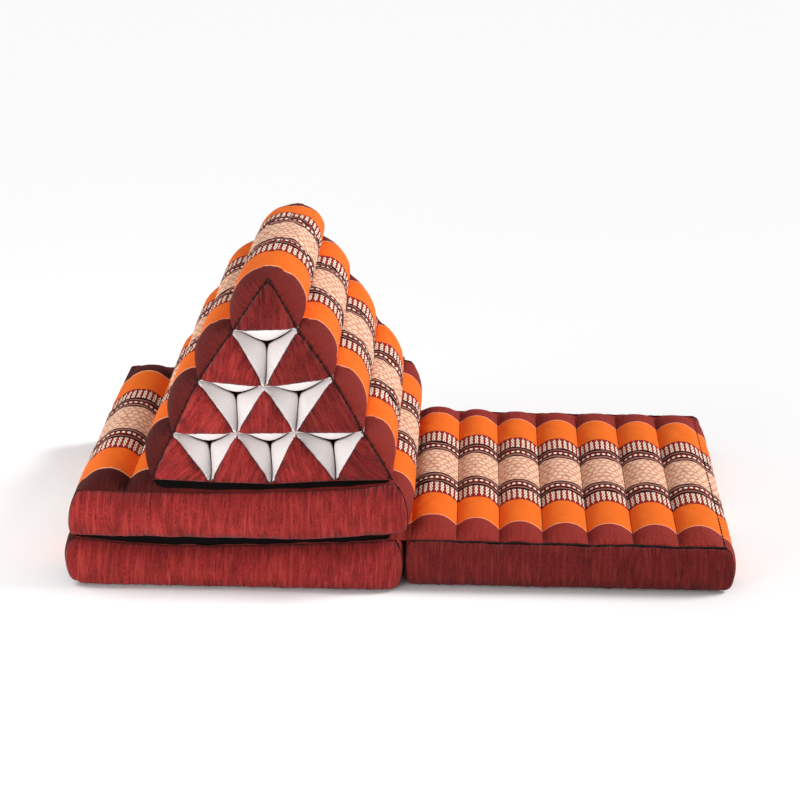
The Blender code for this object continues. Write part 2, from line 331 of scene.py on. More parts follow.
# %% Weave the striped cloth
def weave_striped_cloth():
    c = Loom("striped_cloth", roughness=0.85, sheen=0.0)
    u, v, _ = c.place("UV")
    beat = c.swing(c.streaks(u, v, 0.004, 0.05), 0.0016)
    out = c.away(c.add(v, beat))
    colour = c.stripes(out, BANDS, CLOTH_SPAN)
    dark_end = c.math("GREATER_THAN", out, PALE_EDGE)
    # Painted light: the dark end band goes from its shaded colour to its lit one towards the right
    colour = c.mix(c.times(dark_end, c.amount("painted_light")), colour, RED_BROWN_LIT)

    # Scales of the brocade: every other row is moved by half a scale, and noise makes them uneven
    shift = c.swing(c.streaks(u, v, 0.009, 0.009), 0.9)
    rows = c.add(c.over(v, SCALE_HEIGHT), shift)
    odd = c.math("FRACT", c.times(c.math("FLOOR", rows), 0.5))
    columns = c.add(c.over(u, SCALE_WIDTH), c.add(odd, c.times(shift, 0.6)))
    beside = c.away(c.in_repeat(columns))
    above = c.away(c.in_repeat(rows))
    lens = c.add(c.times(above, 2.0), c.power(c.times(beside, 2.0), 2.0))
    in_brocade = c.below(out, BROCADE_EDGE)
    uneven = c.between(c.streaks(u, v, 0.010, 0.0040), 0.25, 0.60)
    outline = c.times(c.between(lens, 0.55, 1.05), c.between(uneven, -0.6, 1.0))
    brocade = c.times(outline, in_brocade)
    colour = c.mix(c.times(brocade, 0.85), colour, PEACH_LINE)
    strokes = c.times(c.between(c.streaks(u, v, 0.0045, 0.0032), 0.46, 0.30), in_brocade)
    colour = c.mix(c.times(strokes, 0.45), colour, PEACH_LINE)

    # A row of cream dashes
    aside = c.in_repeat(c.over(u, REPEAT))
    off_line = c.over(c.minus(out, DASH_LINE), 0.0031)
    dash = c.add(c.power(c.away(c.over(aside, 0.30)), 3.0), c.power(c.away(off_line), 3.0))
    colour = c.mix(c.below(dash, 1.0), colour, CREAM)

    # Cream figures of three and a half beads, with a hole in each bead
    up = c.over(c.minus(out, LINES_EDGE), FIGURES_EDGE - LINES_EDGE)
    beads = c.times(up, 3.5)
    lobe = c.away(c.math("SINE", c.times(beads, math.pi)))
    width = c.add(0.12, c.times(lobe, 0.20))
    width = c.times(width, c.between(up, 0.97, 0.72))
    inside = c.below(c.away(aside), width)
    inside = c.times(inside, c.math("GREATER_THAN", up, 0.05))
    inside = c.times(inside, c.below(up, 0.96))
    colour = c.mix(inside, colour, CREAM)
    ahead = c.in_repeat(beads)
    hole = c.add(c.power(c.over(aside, 0.13), 2.0), c.power(c.over(ahead, 0.26), 2.0))
    hole = c.times(c.below(hole, 1.0), inside)
    hole = c.times(hole, c.below(up, 0.75))
    colour = c.mix(c.times(hole, 0.75), colour, FIGURE_SHADE)

    # The weave
    threads = c.streaks(u, v, 0.006, 0.0009, 3.0, 0.6)
    strength = c.add(0.16, c.times(dark_end, 1.5))
    shade = c.add(1.0, c.swing(threads, strength))
    warp = c.streaks(u, v, 0.0012, 0.012)
    shade = c.add(shade, c.swing(warp, 0.10))
    colour = c.mix(1.0, colour, c.grey(shade), "MULTIPLY")

    # Relief: the threads, the outlines of the brocade and the gathers near the seams
    gather = c.swing(c.streaks(u, v, 0.006, 0.030), c.amount("pull"))
    height = c.add(c.times(threads, 0.10), c.times(warp, 0.08))
    height = c.add(height, c.times(gather, 2.4))
    height = c.add(height, c.times(brocade, -0.10))
    return c.finish(colour, height, 0.0016)


striped_cloth = weave_striped_cloth()
print("striped cloth has", len(striped_cloth.node_tree.nodes), "nodes")

# %% [markdown]
# ## Plain red cloth
# The end panels and end triangles are a plain dark red cotton whose threads vary in thickness, so it shows
# fine dark streaks along its threads. Four layers of noise, stretched along the threads, give the streaks and
# the uneven dye. A fifth lays painted shade as dark creases where a seam pulls at the cloth, and whole pieces
# that get less light, such as the seat's panels and the triangles on the right, are darkened as painted shade.

# %% Weave the red cloth
RED = dye(150, 42, 40)
RED_DARK = dye(74, 16, 18)
RED_LIGHT = dye(184, 66, 60)


def weave_red_cloth():
    c = Loom("red_cloth", roughness=0.82, sheen=0.08)
    u, v, _ = c.place("UV")
    slubs = c.streaks(u, v, 0.0017, 0.020, 3.0, 0.62)
    fine = c.streaks(u, v, 0.0012, 0.004, 2.0, 0.6)
    broad = c.streaks(u, v, 0.0050, 0.060, 2.0, 0.5)
    cloudy = c.streaks(u, v, 0.035, 0.050)
    pull = c.amount("pull")
    colour = c.mix(c.between(slubs, 0.53, 0.27), RED, RED_DARK)
    for grain, start, end, strength, tone in (
        (fine, 0.50, 0.74, 0.60, RED_LIGHT), (fine, 0.46, 0.26, 0.70, RED_DARK),
        (broad, 0.48, 0.68, 0.60, RED_LIGHT), (cloudy, 0.52, 0.30, 0.35, RED_DARK),
    ):
        colour = c.mix(c.times(c.between(grain, start, end), strength), colour, tone)
    folds = c.streaks(u, v, 0.0110, 0.075, 1.0, 0.4)
    # Painted shade: dark lines in the creases where a seam pulls; they also dip the bump a little
    crease_shade = c.between(c.away(c.minus(folds, 0.5)), 0.090, 0.0)
    crease_shade = c.times(crease_shade, c.between(c.streaks(u, v, 0.035, 0.040), 0.36, 0.56))
    crease_shade = c.times(crease_shade, pull)
    colour = c.mix(c.times(crease_shade, 0.80), colour, RED_DARK)
    # Painted shade: a whole piece is darkened by its painted_shade amount, where less light reaches it
    painted_darkening = c.minus(1.0, c.times(c.amount("painted_shade"), 0.55))
    colour = c.mix(1.0, colour, c.grey(painted_darkening), "MULTIPLY")
    height = c.add(c.times(slubs, 0.14), c.times(fine, 0.12))
    height = c.add(height, c.times(c.times(folds, pull), 2.0))
    height = c.add(height, c.times(crease_shade, -1.2))
    return c.finish(colour, height, 0.0026)


red_cloth = weave_red_cloth()
print("red cloth has", len(red_cloth.node_tree.nodes), "nodes")

# %% [markdown]
# ## White lining
# The pockets are lined with a fine white cotton, a little creased where it is gathered into the seams. Noise
# stretched along the threads makes the creases, and a much finer noise makes the weave.

# %% Weave the lining
WHITE = dye(252, 248, 247)
WHITE_SHADE = dye(238, 228, 226)


def weave_lining():
    c = Loom("white_lining", roughness=0.85, sheen=0.1)
    u, v, _ = c.place("UV")
    creases = c.streaks(u, v, 0.006, 0.030, 2.0, 0.5)
    fine = c.streaks(u, v, 0.0010, 0.0014, 2.0, 0.6)
    colour = c.mix(c.between(fine, 0.35, 0.70), WHITE_SHADE, WHITE)
    folds = c.swing(creases, c.add(0.10, c.amount("pull")))
    return c.finish(colour, c.add(c.times(folds, 1.6), c.times(fine, 0.05)), 0.0020)


white_lining = weave_lining()
print("white lining has", len(white_lining.node_tree.nodes), "nodes")

# %% [markdown]
# ## Cutting and sewing
# A cover is cut as rings of points, one ring for each station along the piece, and the faces between the
# rings are its cloth. While the faces are made, the distances along the surface are noted as the map of the
# flat cloth. That is why the covers are made from points and not from a voxel remesh, which has no map.

# %% Cover from rings of points
GAP = 0.0003

# The two ends of a pad or a roll: which way each faces along y, and its name
ENDS = ((-1.0, "front"), (1.0, "back"))


def mix(a, b, part):
    return a + (b - a) * part


def smooth(part):
    part = min(1.0, max(0.0, part))
    return part * part * (3.0 - 2.0 * part)


def fill_out(distance, length):
    """Part of the full height that a stuffed edge has reached at a distance from its seam."""
    part = min(1.0, max(0.0, distance / length))
    return math.sqrt(1.0 - (1.0 - part) ** 2)


def fade(distance, length):
    return max(0.0, 1.0 - distance / length) ** 2


class Pattern:
    """Cloth being cut: points, faces, and for each face corner its place on the flat cloth."""

    def __init__(self):
        self.points = []
        self.faces = []
        self.flat = []
        self.part = []

    def point(self, place):
        self.points.append(place)
        return len(self.points) - 1

    def face(self, corners, flat, part=0):
        self.faces.append(corners)
        self.flat.append(flat)
        self.part.append(part)

    def grid(self, rows, flat_rows, part=0):
        """Faces between rows of point numbers."""
        for j in range(len(rows) - 1):
            for i in range(len(rows[0]) - 1):
                cells = ((j, i), (j, i + 1), (j + 1, i + 1), (j + 1, i))
                corners = [rows[a][b] for a, b in cells]
                self.face(corners, [flat_rows[a][b] for a, b in cells], part)

    def sew(self, name, *materials):
        mesh = bpy.data.meshes.new(name)
        mesh.from_pydata([tuple(p) for p in self.points], [], self.faces)
        for material in materials:
            mesh.materials.append(material)
        layer = mesh.uv_layers.new(name="cloth")
        layer.data.foreach_set("uv", [value for face in self.flat for place in face for value in place])
        mesh.polygons.foreach_set("material_index", [min(part, len(materials) - 1) for part in self.part])
        mesh.attributes.new("zone", "INT", "FACE").data.foreach_set("value", self.part)
        piece = add_object(name, mesh)
        edit(piece, bpy.ops.mesh.normals_make_consistent, inside=False)
        mesh.shade_smooth()
        return piece


def choose(piece):
    """Make a piece the only selected and active object."""
    bpy.ops.object.select_all(action="DESELECT")
    piece.select_set(True)
    bpy.context.view_layer.objects.active = piece


def edit(piece, operator, **settings):
    """Use one operator of edit mode on all of a piece."""
    choose(piece)
    bpy.ops.object.mode_set(mode="EDIT")
    bpy.ops.mesh.select_all(action="SELECT")
    operator(**settings)
    bpy.ops.object.mode_set(mode="OBJECT")


def apply_modifier(piece, kind, **settings):
    choose(piece)
    bpy.ops.object.modifier_add(type=kind)
    modifier = piece.modifiers[-1]
    for key, value in settings.items():
        setattr(modifier, key, value)
    bpy.ops.object.modifier_apply(modifier=modifier.name)


def sleeve(pattern, rings, slip=0.0):
    """Add a tube of cloth through the rings; slip is how far back its stripes lie."""
    places = np.array([[tuple(p) for p in ring] for ring in rings])
    stations, count = places.shape[:2]
    middle = stations // 2
    along = np.linalg.norm(np.diff(places, axis=0), axis=2)
    v = np.vstack([np.zeros((1, count)), np.cumsum(along, axis=0)])
    v -= v[middle] - places[middle, :, 1] + slip
    closed = np.vstack([places[middle], places[middle, :1]])
    u = np.concatenate([[0.0], np.cumsum(np.linalg.norm(np.diff(closed, axis=0), axis=1))])
    rows, flat = [], []
    for j, ring in enumerate(rings):
        numbers = [pattern.point(p) for p in ring]
        rows.append(numbers + numbers[:1])
        flat.append([(u[i], v[j, i % count]) for i in range(count + 1)])
    pattern.grid(rows, flat)
    return rows


def measure(piece):
    return len(piece.data.vertices), len(piece.data.polygons)


print("pieces that touch are cut", GAP * 1000, "mm apart")

# %% [markdown]
# ## Pads
# Each pad is a bag of striped cloth, open at its front and back, that six lines of stitches part into seven
# channels stuffed with kapok. Its section is worked out from the sizes of the model: where each sewn line
# is, how high its cloth rests and how high the crown of a channel stands. Between two lines the cloth rises
# in an arc, and near the seams it is drawn in.

# %% Sizes of the pads
PAD_DEPTH = 0.500
CHANNELS = 7
CHANNEL_DIP = 0.015
UNDERSIDE_DIP = 0.008
EDGE_ROUNDING = 0.040
EDGE_RISE = 0.003
CORNER_ROUNDING = 0.035
CORNER_FULLNESS = 0.7
SIDE_PULL = 0.055
CROWN_SHAPE = 2.6
DEEPENING = 0.12
PRESSED_FROM = 1.5
PRESSED_OVER = 0.6
PRESSED_BY = 0.8
DRAWING_START = 0.01688

# A line along a pad: its place across, and the heights of the underside, of the crown and of the sewn edge
Line = namedtuple("Line", "x under crown seam")

# How far right the feet of the side walls lie, and how far out those of the end walls; how far the walls
# bulge; and how deep the dips between the channels are at the left edge, below and above
Pad = namedtuple("Pad", "name lines foot_left foot_right foot_front left right front pinch_under pinch_above")

SEAT_PAD = Pad(
    name="seat",
    lines=(
        Line(0.000, 0.000, 0.088, 0.068), Line(0.066, 0.000, 0.085, 0.068), Line(0.128, 0.000, 0.079, 0.067),
        Line(0.191, 0.000, 0.077, 0.067), Line(0.256, 0.000, 0.077, 0.066), Line(0.321, 0.000, 0.077, 0.067),
        Line(0.386, 0.000, 0.077, 0.066), Line(0.451, 0.000, 0.075, 0.066),
    ),
    foot_left=0.000, foot_right=0.002, foot_front=0.004, left=0.009, right=0.016, front=0.010,
    pinch_under=UNDERSIDE_DIP, pinch_above=CHANNEL_DIP,
)
MIDDLE_PAD = Pad(
    name="middle",
    lines=(
        Line(-0.484, 0.0, 0.069, 0.064), Line(-0.408, 0.0, 0.069, 0.056), Line(-0.345, 0.0, 0.069, 0.053),
        Line(-0.281, 0.0, 0.069, 0.054), Line(-0.217, 0.0, 0.069, 0.057), Line(-0.153, 0.0, 0.069, 0.060),
        Line(-0.088, 0.0, 0.072, 0.064), Line(-0.022, 0.0, 0.076, 0.069),
    ),
    foot_left=0.006, foot_right=0.000, foot_front=0.024, left=0.020, right=0.0141, front=0.016,
    pinch_under=UNDERSIDE_DIP, pinch_above=0.0015,
)
UPPER_PAD = Pad(
    name="upper",
    lines=(
        Line(-0.474, 0.0693, 0.1500, 0.1380), Line(-0.408, 0.0693, 0.1500, 0.1360),
        Line(-0.345, 0.0693, 0.1512, 0.1365), Line(-0.281, 0.0693, 0.1492, 0.1375),
        Line(-0.217, 0.0693, 0.1483, 0.1405), Line(-0.153, 0.0693, 0.1515, 0.1440),
        Line(-0.088, 0.0745, 0.1555, 0.1480), Line(-0.024, 0.0815, 0.1580, 0.1570),
    ),
    foot_left=-0.010, foot_right=0.009, foot_front=0.006, left=0.012, right=0.021, front=0.020,
    pinch_under=0.001, pinch_above=CHANNEL_DIP,
)
PADS = (SEAT_PAD, MIDDLE_PAD, UPPER_PAD)
print(len(SEAT_PAD.lines) - 1, "channels in each pad")


# %% Surface of a pad
def line_at(pad, across):
    """Place and heights at a position across the pad, counted in channels, and the part of that channel."""
    channel = min(int(across), CHANNELS - 1)
    part = across - channel
    a, b = pad.lines[channel], pad.lines[channel + 1]
    return Line(*(mix(low, high, part) for low, high in zip(a, b))), part


def hollow(part):
    """1 on a sewn line and 0 on the crown of a channel."""
    return abs(2.0 * part - 1.0) ** CROWN_SHAPE


def pad_point(pad, across, along, up):
    """A point of the pad's surface: up is 1 on the top, 0 on the underside and between them on a wall."""
    line, part = line_at(pad, across)
    inward = min(along, PAD_DEPTH - along)
    filled = fill_out(inward, EDGE_ROUNDING)
    # The dips have their full depth a little inside the left edge. Further on, the load of the triangle and
    # the folded pads makes them shallower.
    edge = smooth(across / DEEPENING)
    pressed = smooth((across - PRESSED_FROM) / PRESSED_OVER) if pad.name != "seat" else 0.0
    dip = CHANNEL_DIP * (1.0 - PRESSED_BY * pressed)
    above = mix(pad.pinch_above, dip, edge) * hollow(part)
    below = mix(pad.pinch_under, UNDERSIDE_DIP, edge) * hollow(part)
    top = mix(line.seam, line.crown - above, filled)
    bottom = line.under + mix(EDGE_RISE, below, filled)
    low, bulge = 1.0 - up, math.sqrt(max(0.0, 4.0 * up * (1.0 - up)))
    left, right = pad.lines[0].x, pad.lines[-1].x
    front_part = mix(CORNER_FULLNESS, 1.0, fill_out(min(line.x - left, right - line.x), CORNER_ROUNDING))
    side_part = mix(CORNER_FULLNESS, 1.0, fill_out(inward, CORNER_ROUNDING))
    end = -1.0 if along < PAD_DEPTH / 2 else 1.0
    y = along - PAD_DEPTH / 2 + end * fade(inward, SIDE_PULL) * pad.foot_front * low * front_part
    y += end * fade(inward, CORNER_ROUNDING) * pad.front * bulge * front_part
    x = line.x + fade(line.x - left, CORNER_ROUNDING) * (pad.foot_left * low - bulge * pad.left * side_part)
    x += fade(right - line.x, CORNER_ROUNDING) * (pad.foot_right * low + bulge * pad.right * side_part)
    return Vector((x + DRAWING_START, y, mix(bottom, top, up)))


# %% Cut the pads
COLUMNS_PER_CHANNEL = 12
PAD_ROWS = 84
WALL_ROWS = 14


def spread(count, ease):
    """Numbers from 0 to 1, closer together near both ends."""
    steps = [n / count for n in range(count + 1)]
    return [mix(t, (1.0 - math.cos(math.pi * t)) / 2, ease) for t in steps]


CHANNEL_STEPS = spread(COLUMNS_PER_CHANNEL, 0.5)[:-1]
ACROSS = [channel + step for channel in range(CHANNELS) for step in CHANNEL_STEPS] + [float(CHANNELS)]
ALONG = [PAD_DEPTH * part for part in spread(PAD_ROWS, 0.6)]
UPS = spread(WALL_ROWS, 0.3)
RING_POINTS = 2 * len(ACROSS) + 2 * (len(UPS) - 2)


def pad_ring(pad, along):
    ring = [pad_point(pad, across, along, 1.0) for across in ACROSS]
    ring += [pad_point(pad, CHANNELS, along, up) for up in reversed(UPS[1:-1])]
    ring += [pad_point(pad, across, along, 0.0) for across in reversed(ACROSS)]
    ring += [pad_point(pad, 0.0, along, up) for up in UPS[1:-1]]
    return ring


def close_pad(pattern, pad, ring, along):
    """The wall that closes an end of a pad: a grid whose rim is the ring."""
    wide, high = len(ACROSS), len(UPS)
    top, right = ring[:wide], ring[wide:wide + high - 2]
    bottom, left = ring[wide + high - 2:2 * wide + high - 2][::-1], ring[2 * wide + high - 2:-1]
    rows = [bottom]
    for k in range(1, high - 1):
        inner = [pattern.point(pad_point(pad, across, along, UPS[k])) for across in ACROSS[1:-1]]
        rows.append([left[k - 1]] + inner + [right[high - 2 - k]])
    rows.append(top)
    flat = [[(pattern.points[n].x, pattern.points[n].z) for n in row] for row in rows]
    pattern.grid(rows, flat, 1)


def cut_pad(pad):
    pattern = Pattern()
    rows = sleeve(pattern, [pad_ring(pad, along) for along in ALONG])
    close_pad(pattern, pad, rows[0], ALONG[0])
    close_pad(pattern, pad, rows[-1], ALONG[-1])
    return pattern.sew(pad.name + "_pad", striped_cloth, red_cloth)


pads = {pad.name: cut_pad(pad) for pad in PADS}
for name, piece in pads.items():
    print(name, "pad has", *measure(piece), "points and faces")

# %% [markdown]
# ## Rolls
# Ten stuffed rolls make the triangle, in rows of one, two, three and four. Their ends are sewn to flat
# triangles that meet at the points of a lattice. A little way in, the three rolls around a gap fill it, so
# that their walls meet on a Y and the end keeps a three-sided pocket. The outer side of a roll is free and
# swells into a half round.

# %% Lattice of the triangle
LATTICE_ROWS = 4
ROLL_SIDE = 0.0883
ROW_HEIGHT = 0.0760
TRIANGLE_CENTRE = -0.2023 + DRAWING_START
TRIANGLE_BASE = 0.154
END_PLANE = 0.2437
REAR_SIZE = 0.93
REAR_LEANS = (0.005, -0.001, -0.002, -0.001, 0.0)
REAR_SINK = 0.0138
SINK_START = 0.05

# How far each lattice point has slipped to the side and up, in millimetres, from the apex down
LATTICE_SLIP = (
    ((4, 0),),
    ((-3, -1), (-1, 3)),
    ((-9, 0), (-4, -8), (3, 7)),
    ((-3, -5), (-1, -3), (-6, 0), (2, 2)),
    ((9, 1), (4, -2), (3, -3), (6, 4), (-1, 7)),
)


def lattice_point(row, place, y):
    """A corner where the ends of rolls meet; the stack is a little smaller at its rear and leans there."""
    slip_x, slip_z = LATTICE_SLIP[row][place]
    x = (place - row / 2) * ROLL_SIDE + slip_x / 1000
    z = (LATTICE_ROWS - row) * ROW_HEIGHT + slip_z / 1000
    rear = (y + END_PLANE) / (2 * END_PLANE)
    change = rear * (LATTICE_ROWS - row) / LATTICE_ROWS
    size = mix(1.0, REAR_SIZE, change)
    sink = REAR_SINK * smooth((y - SINK_START) / (END_PLANE - SINK_START)) if row == 0 else 0.0
    return Vector((TRIANGLE_CENTRE + REAR_LEANS[row] * rear + x * size, y, TRIANGLE_BASE + z * size - sink))


def pocket_centre(row, place, y):
    """The middle of the downward triangle under lattice row `row`, where three rolls meet."""
    corners = ((row, place), (row, place + 1), (row + 1, place + 1))
    return sum((lattice_point(r, p, y) for r, p in corners), Vector()) / 3


print("apex of the triangle at", [round(v, 3) for v in lattice_point(0, 0, -END_PLANE)])

# %% Sides of a roll
LEFT_BULGES = (0.0255, 0.0280, 0.0270, 0.0285)
RIGHT_BULGES = (0.0245, 0.0232, 0.0195, 0.0200)
RIGHT_REAR_TRIM = (0.0, 0.002, 0.003, 0.003)
SHOULDERS = (1.0, 1.10, 1.30, 1.40)
STRIPE_SLIPS = (0.0, 0.007, 0.014, 0.020)
CREST = 0.0045
CREST_REACH = 0.16
ROOF = 0.0030
ROOF_REACH = 0.10
GATHER = 0.0045
GATHER_REACH = 0.030
GATHER_START = 0.006
REAR_GATHER = 0.4
POCKET_DEPTH = 0.030
POCKET_HOLE = 0.09
ARM_SAG = 0.0045
ROUND_END = 0.045
ROUND_REAR_END = 0.063
BASE_END = 0.010
BASE_TUCK = 0.006
POCKET_SHUT = 0.968
LOW_SHUT = 0.6
LOW_SHUT_REACH = 0.025
POCKET_OPEN = 0.02
POCKET_CURVE = 1.25
ARC_FULLNESS = 0.56
SLOPE_STEPS = 28
POCKET_STEPS = 10
BASE_STEPS = 24
LINING_ROOM = 0.0012
ROLL_INSET = 0.0002


def bed_height(x):
    """Height of the upper pad's crown under the stack of rolls."""
    lines = UPPER_PAD.lines
    return float(np.interp(x - DRAWING_START, [line.x for line in lines], [line.crown for line in lines]))


def arm_point(corner, centre, part):
    """A point of the line where two rolls press on each other; the roll above sags into the pocket."""
    sag = ARM_SAG * 4 * part * (1 - part) if corner.z > centre.z else 0.0
    return corner.lerp(centre, part) - Vector((0.0, 0.0, sag))


def pocket_side(a, b, centre, depth):
    """A side that leans over a pocket towards its neighbours' sides, with a rounded edge in the middle."""
    lean = 1.0 - (1.0 - min(1.0, depth / POCKET_DEPTH)) ** POCKET_CURVE
    part = mix(POCKET_OPEN, POCKET_SHUT, lean)
    along = (b - a).normalized()
    foot = a + along * (centre - a).dot(along)
    flat = math.sqrt(1.0 + POCKET_HOLE ** 2)
    points = []
    for step in range(2 * POCKET_STEPS):
        t = step / (2 * POCKET_STEPS)
        base = a.lerp(foot, 2 * t) if t < 0.5 else foot.lerp(b, 2 * t - 1)
        rise = (flat - math.sqrt((2 * t - 1) ** 2 + POCKET_HOLE ** 2)) / flat
        turn = smooth((t - 0.5) / (2 * POCKET_HOLE) + 0.5)
        edge = arm_point(a, centre, rise).lerp(arm_point(b, centre, rise), turn)
        pressed = LOW_SHUT * smooth((centre.z - edge.z) / LOW_SHUT_REACH)
        points.append(base.lerp(edge, mix(part, 1.0, pressed * lean)))
    return points


def slope_side(a, b, depth, row):
    """A side on the triangle's slope, flat at the seam and round along the roll, fullest near its top."""
    outward = Vector((b.z - a.z, 0.0, a.x - b.x)).normalized()
    on_left, front = outward.x < 0, a.y < 0
    rear = (a.y + END_PLANE) / (2 * END_PLANE)
    size = LEFT_BULGES[row] if on_left else RIGHT_BULGES[row] - RIGHT_REAR_TRIM[row] * rear
    bulge = size * fill_out(depth, ROUND_END if front else ROUND_REAR_END)
    points = []
    for part in spread(SLOPE_STEPS, 0.5)[:-1]:
        skewed = part if on_left else part ** SHOULDERS[row]
        swell = (4 * skewed * (1 - skewed)) ** ARC_FULLNESS
        from_top = part if on_left else 1.0 - part
        roof = ROOF * fade(from_top, ROOF_REACH) * bulge / size if row == 0 else 0.0
        tuck = noise.noise(Vector((part * 11, row + 9 * (not on_left), a.y * 4)))
        near_seam = fade(depth, GATHER_REACH) * min(1.0, depth / GATHER_START)
        gather = GATHER * abs(tuck) ** 0.7 * near_seam * swell * (1.0 if front else REAR_GATHER)
        points.append(a.lerp(b, part) + outward * (bulge * swell + gather) + Vector((0.0, 0.0, roof)))
    return points


def base_side(a, b, depth):
    """The underside of a bottom roll, which lies on the upper pad's crown."""
    near, far = a.x + BASE_TUCK, b.x - BASE_TUCK
    pressed = fill_out(depth, BASE_END)
    points = [a]
    for step in range(BASE_STEPS + 1):
        x = mix(near, far, step / BASE_STEPS)
        seam = mix(a.z, b.z, (x - a.x) / (b.x - a.x))
        points.append(Vector((x, a.y, mix(seam, bed_height(x) + GAP, pressed))))
    return points


Side = namedtuple("Side", "kind points")


def roll_sides(row, place, depth, y):
    """The three sides of a roll at one station, counter-clockwise from its top corner."""
    top = lattice_point(row, place, y)
    if row == 0:
        top.z += CREST * fill_out(depth, CREST_REACH)
    left = lattice_point(row + 1, place, y)
    right = lattice_point(row + 1, place + 1, y)
    sides = []
    for a, b, outer, pocket in (
        (top, left, place == 0, (row, place - 1)),
        (left, right, row == LATTICE_ROWS - 1, (row + 1, place)),
        (right, top, place == row, (row, place)),
    ):
        if not outer:
            sides.append(Side("pocket", pocket_side(a, b, pocket_centre(*pocket, y), depth)))
        elif a is left:
            sides.append(Side("base", base_side(a, b, depth)))
        else:
            sides.append(Side("slope", slope_side(a, b, depth, row)))
    return sides, (top + left + right) / 3


def step_in(point, middle, distance):
    return point + (middle - point).normalized() * distance


def roll_ring(row, place, depth, y):
    """The outline of a roll's cover, drawn in a little where a lining covers it or a neighbour touches it."""
    sides, middle = roll_sides(row, place, depth, y)
    ring = []
    for kind, points in sides:
        room = LINING_ROOM if kind == "pocket" else ROLL_INSET
        ring += [step_in(p, middle, room) for p in points]
    return ring, middle


# %% Cut the rolls
ROLL_ROWS = 76
END_RINGS = (0.93, 0.8, 0.62, 0.4, 0.2)

# Row and place in the row of each roll, from the top down
PLACES = [(row, place) for row in range(LATTICE_ROWS) for place in range(row + 1)]


def roll_stations():
    """Depth under the nearer end and place along the roll."""
    for part in spread(ROLL_ROWS, 0.75):
        y = mix(-END_PLANE, END_PLANE, part)
        yield min(y + END_PLANE, END_PLANE - y), y


def close_roll(pattern, ring, middle):
    """Rings that shrink to the middle of a roll's end."""
    count = len(ring) - 1
    rows = [ring]
    for size in END_RINGS:
        numbers = [pattern.point(middle.lerp(pattern.points[n], size)) for n in ring[:-1]]
        rows.append(numbers + numbers[:1])
    flat = [[(pattern.points[n].x, pattern.points[n].z) for n in row] for row in rows]
    pattern.grid(rows, flat, 1)
    centre = pattern.point(middle)
    for n in range(count):
        corners = [rows[-1][n], rows[-1][n + 1], centre]
        pattern.face(corners, [(pattern.points[m].x, pattern.points[m].z) for m in corners], 1)


def cut_roll(row, place):
    pattern = Pattern()
    outlines = [roll_ring(row, place, depth, y) for depth, y in roll_stations()]
    rows = sleeve(pattern, [ring for ring, _ in outlines], STRIPE_SLIPS[row])
    close_roll(pattern, rows[0], outlines[0][1])
    close_roll(pattern, rows[-1], outlines[-1][1])
    return pattern.sew(f"roll_cover_{row + 1}_{place + 1}", striped_cloth, red_cloth)


rolls = {(row, place): cut_roll(row, place) for row, place in PLACES}
print(len(rolls), "rolls, the first has", *measure(rolls[0, 0]), "points and faces")

# %% [markdown]
# ## Stuff the covers
# The covers are blown up by a short cloth simulation with a little pressure inside and no gravity. The
# sewn lines, the seams and all the places that rest on a neighbour are held, so only the free cloth swells
# and puckers between them. How far a point may move is capped, so a cover keeps clear of its neighbours.
# Afterwards each pad gets one subdivision, with creases that keep the sewn lines sharp.

# %% Which points are held while a cover is stuffed
FOOT_REACH = 0.20
AT_SEAM = 0.001


def pad_holds(pad):
    """1 for each held point of a pad: its ends, sewn lines and underside, and what touches another cover."""
    top = []
    for n, across in enumerate(ACROSS):
        x = line_at(pad, across)[0].x + DRAWING_START
        bed = pad.name == "upper" and abs(x - TRIANGLE_CENTRE) < FOOT_REACH
        top.append(bed or pad.name == "middle" or n % COLUMNS_PER_CHANNEL == 0)
    wall = len(UPS) - 2
    ring = top + [pad.name == "middle"] * wall + [True] * len(ACROSS) + [pad.name == "seat"] * wall
    return [float(held or min(along, PAD_DEPTH - along) < AT_SEAM) for along in ALONG for held in ring]


def roll_holds(row, place):
    """1 for each held point of a roll: only its outer sides are free."""
    sides, _ = roll_sides(row, place, 0.1, 0.0)
    free = [kind == "slope" and n > 0 for kind, points in sides for n in range(len(points))]
    return [float(not is_free or depth <= AT_SEAM) for depth, _ in roll_stations() for is_free in free]


# %% Blow up the covers
PRESSURE = 4.0
EXTRA_CLOTH = -0.008
STUFFING_STEPS = 20
MOST_SWELL = 0.003


def places_of(piece):
    values = np.empty(len(piece.data.vertices) * 3, dtype=np.float32)
    piece.data.vertices.foreach_get("co", values)
    return values.reshape(-1, 3)


def prepare_stuffing(piece, holds):
    group = piece.vertex_groups.new(name="held")
    holds = holds + [0.0] * (len(piece.data.vertices) - len(holds))
    for number, weight in enumerate(holds):
        if weight:
            group.add([number], weight, "REPLACE")
    choose(piece)
    bpy.ops.object.modifier_add(type="CLOTH")
    cloth = piece.modifiers[-1]
    cloth.settings.quality = 4
    cloth.settings.mass = 0.2
    cloth.settings.tension_stiffness = 12
    cloth.settings.compression_stiffness = 12
    cloth.settings.bending_stiffness = 0.6
    cloth.settings.use_pressure = True
    cloth.settings.uniform_pressure_force = PRESSURE
    cloth.settings.shrink_min = EXTRA_CLOTH
    cloth.settings.vertex_group_mass = "held"
    cloth.settings.effector_weights.gravity = 0.0
    cloth.collision_settings.use_collision = False
    cloth.point_cache.frame_end = STUFFING_STEPS


def finish_stuffing(piece):
    """Apply the simulation and hold every point within MOST_SWELL of where it was cut."""
    before = places_of(piece)
    choose(piece)
    bpy.ops.object.modifier_apply(modifier=piece.modifiers[0].name)
    moved = places_of(piece) - before
    far = np.linalg.norm(moved, axis=1, keepdims=True)
    moved *= np.minimum(1.0, MOST_SWELL / np.maximum(far, 1e-9))
    piece.data.vertices.foreach_set("co", (before + moved).ravel())
    piece.data.update()
    return float(np.linalg.norm(moved, axis=1).mean()), float(far.max())


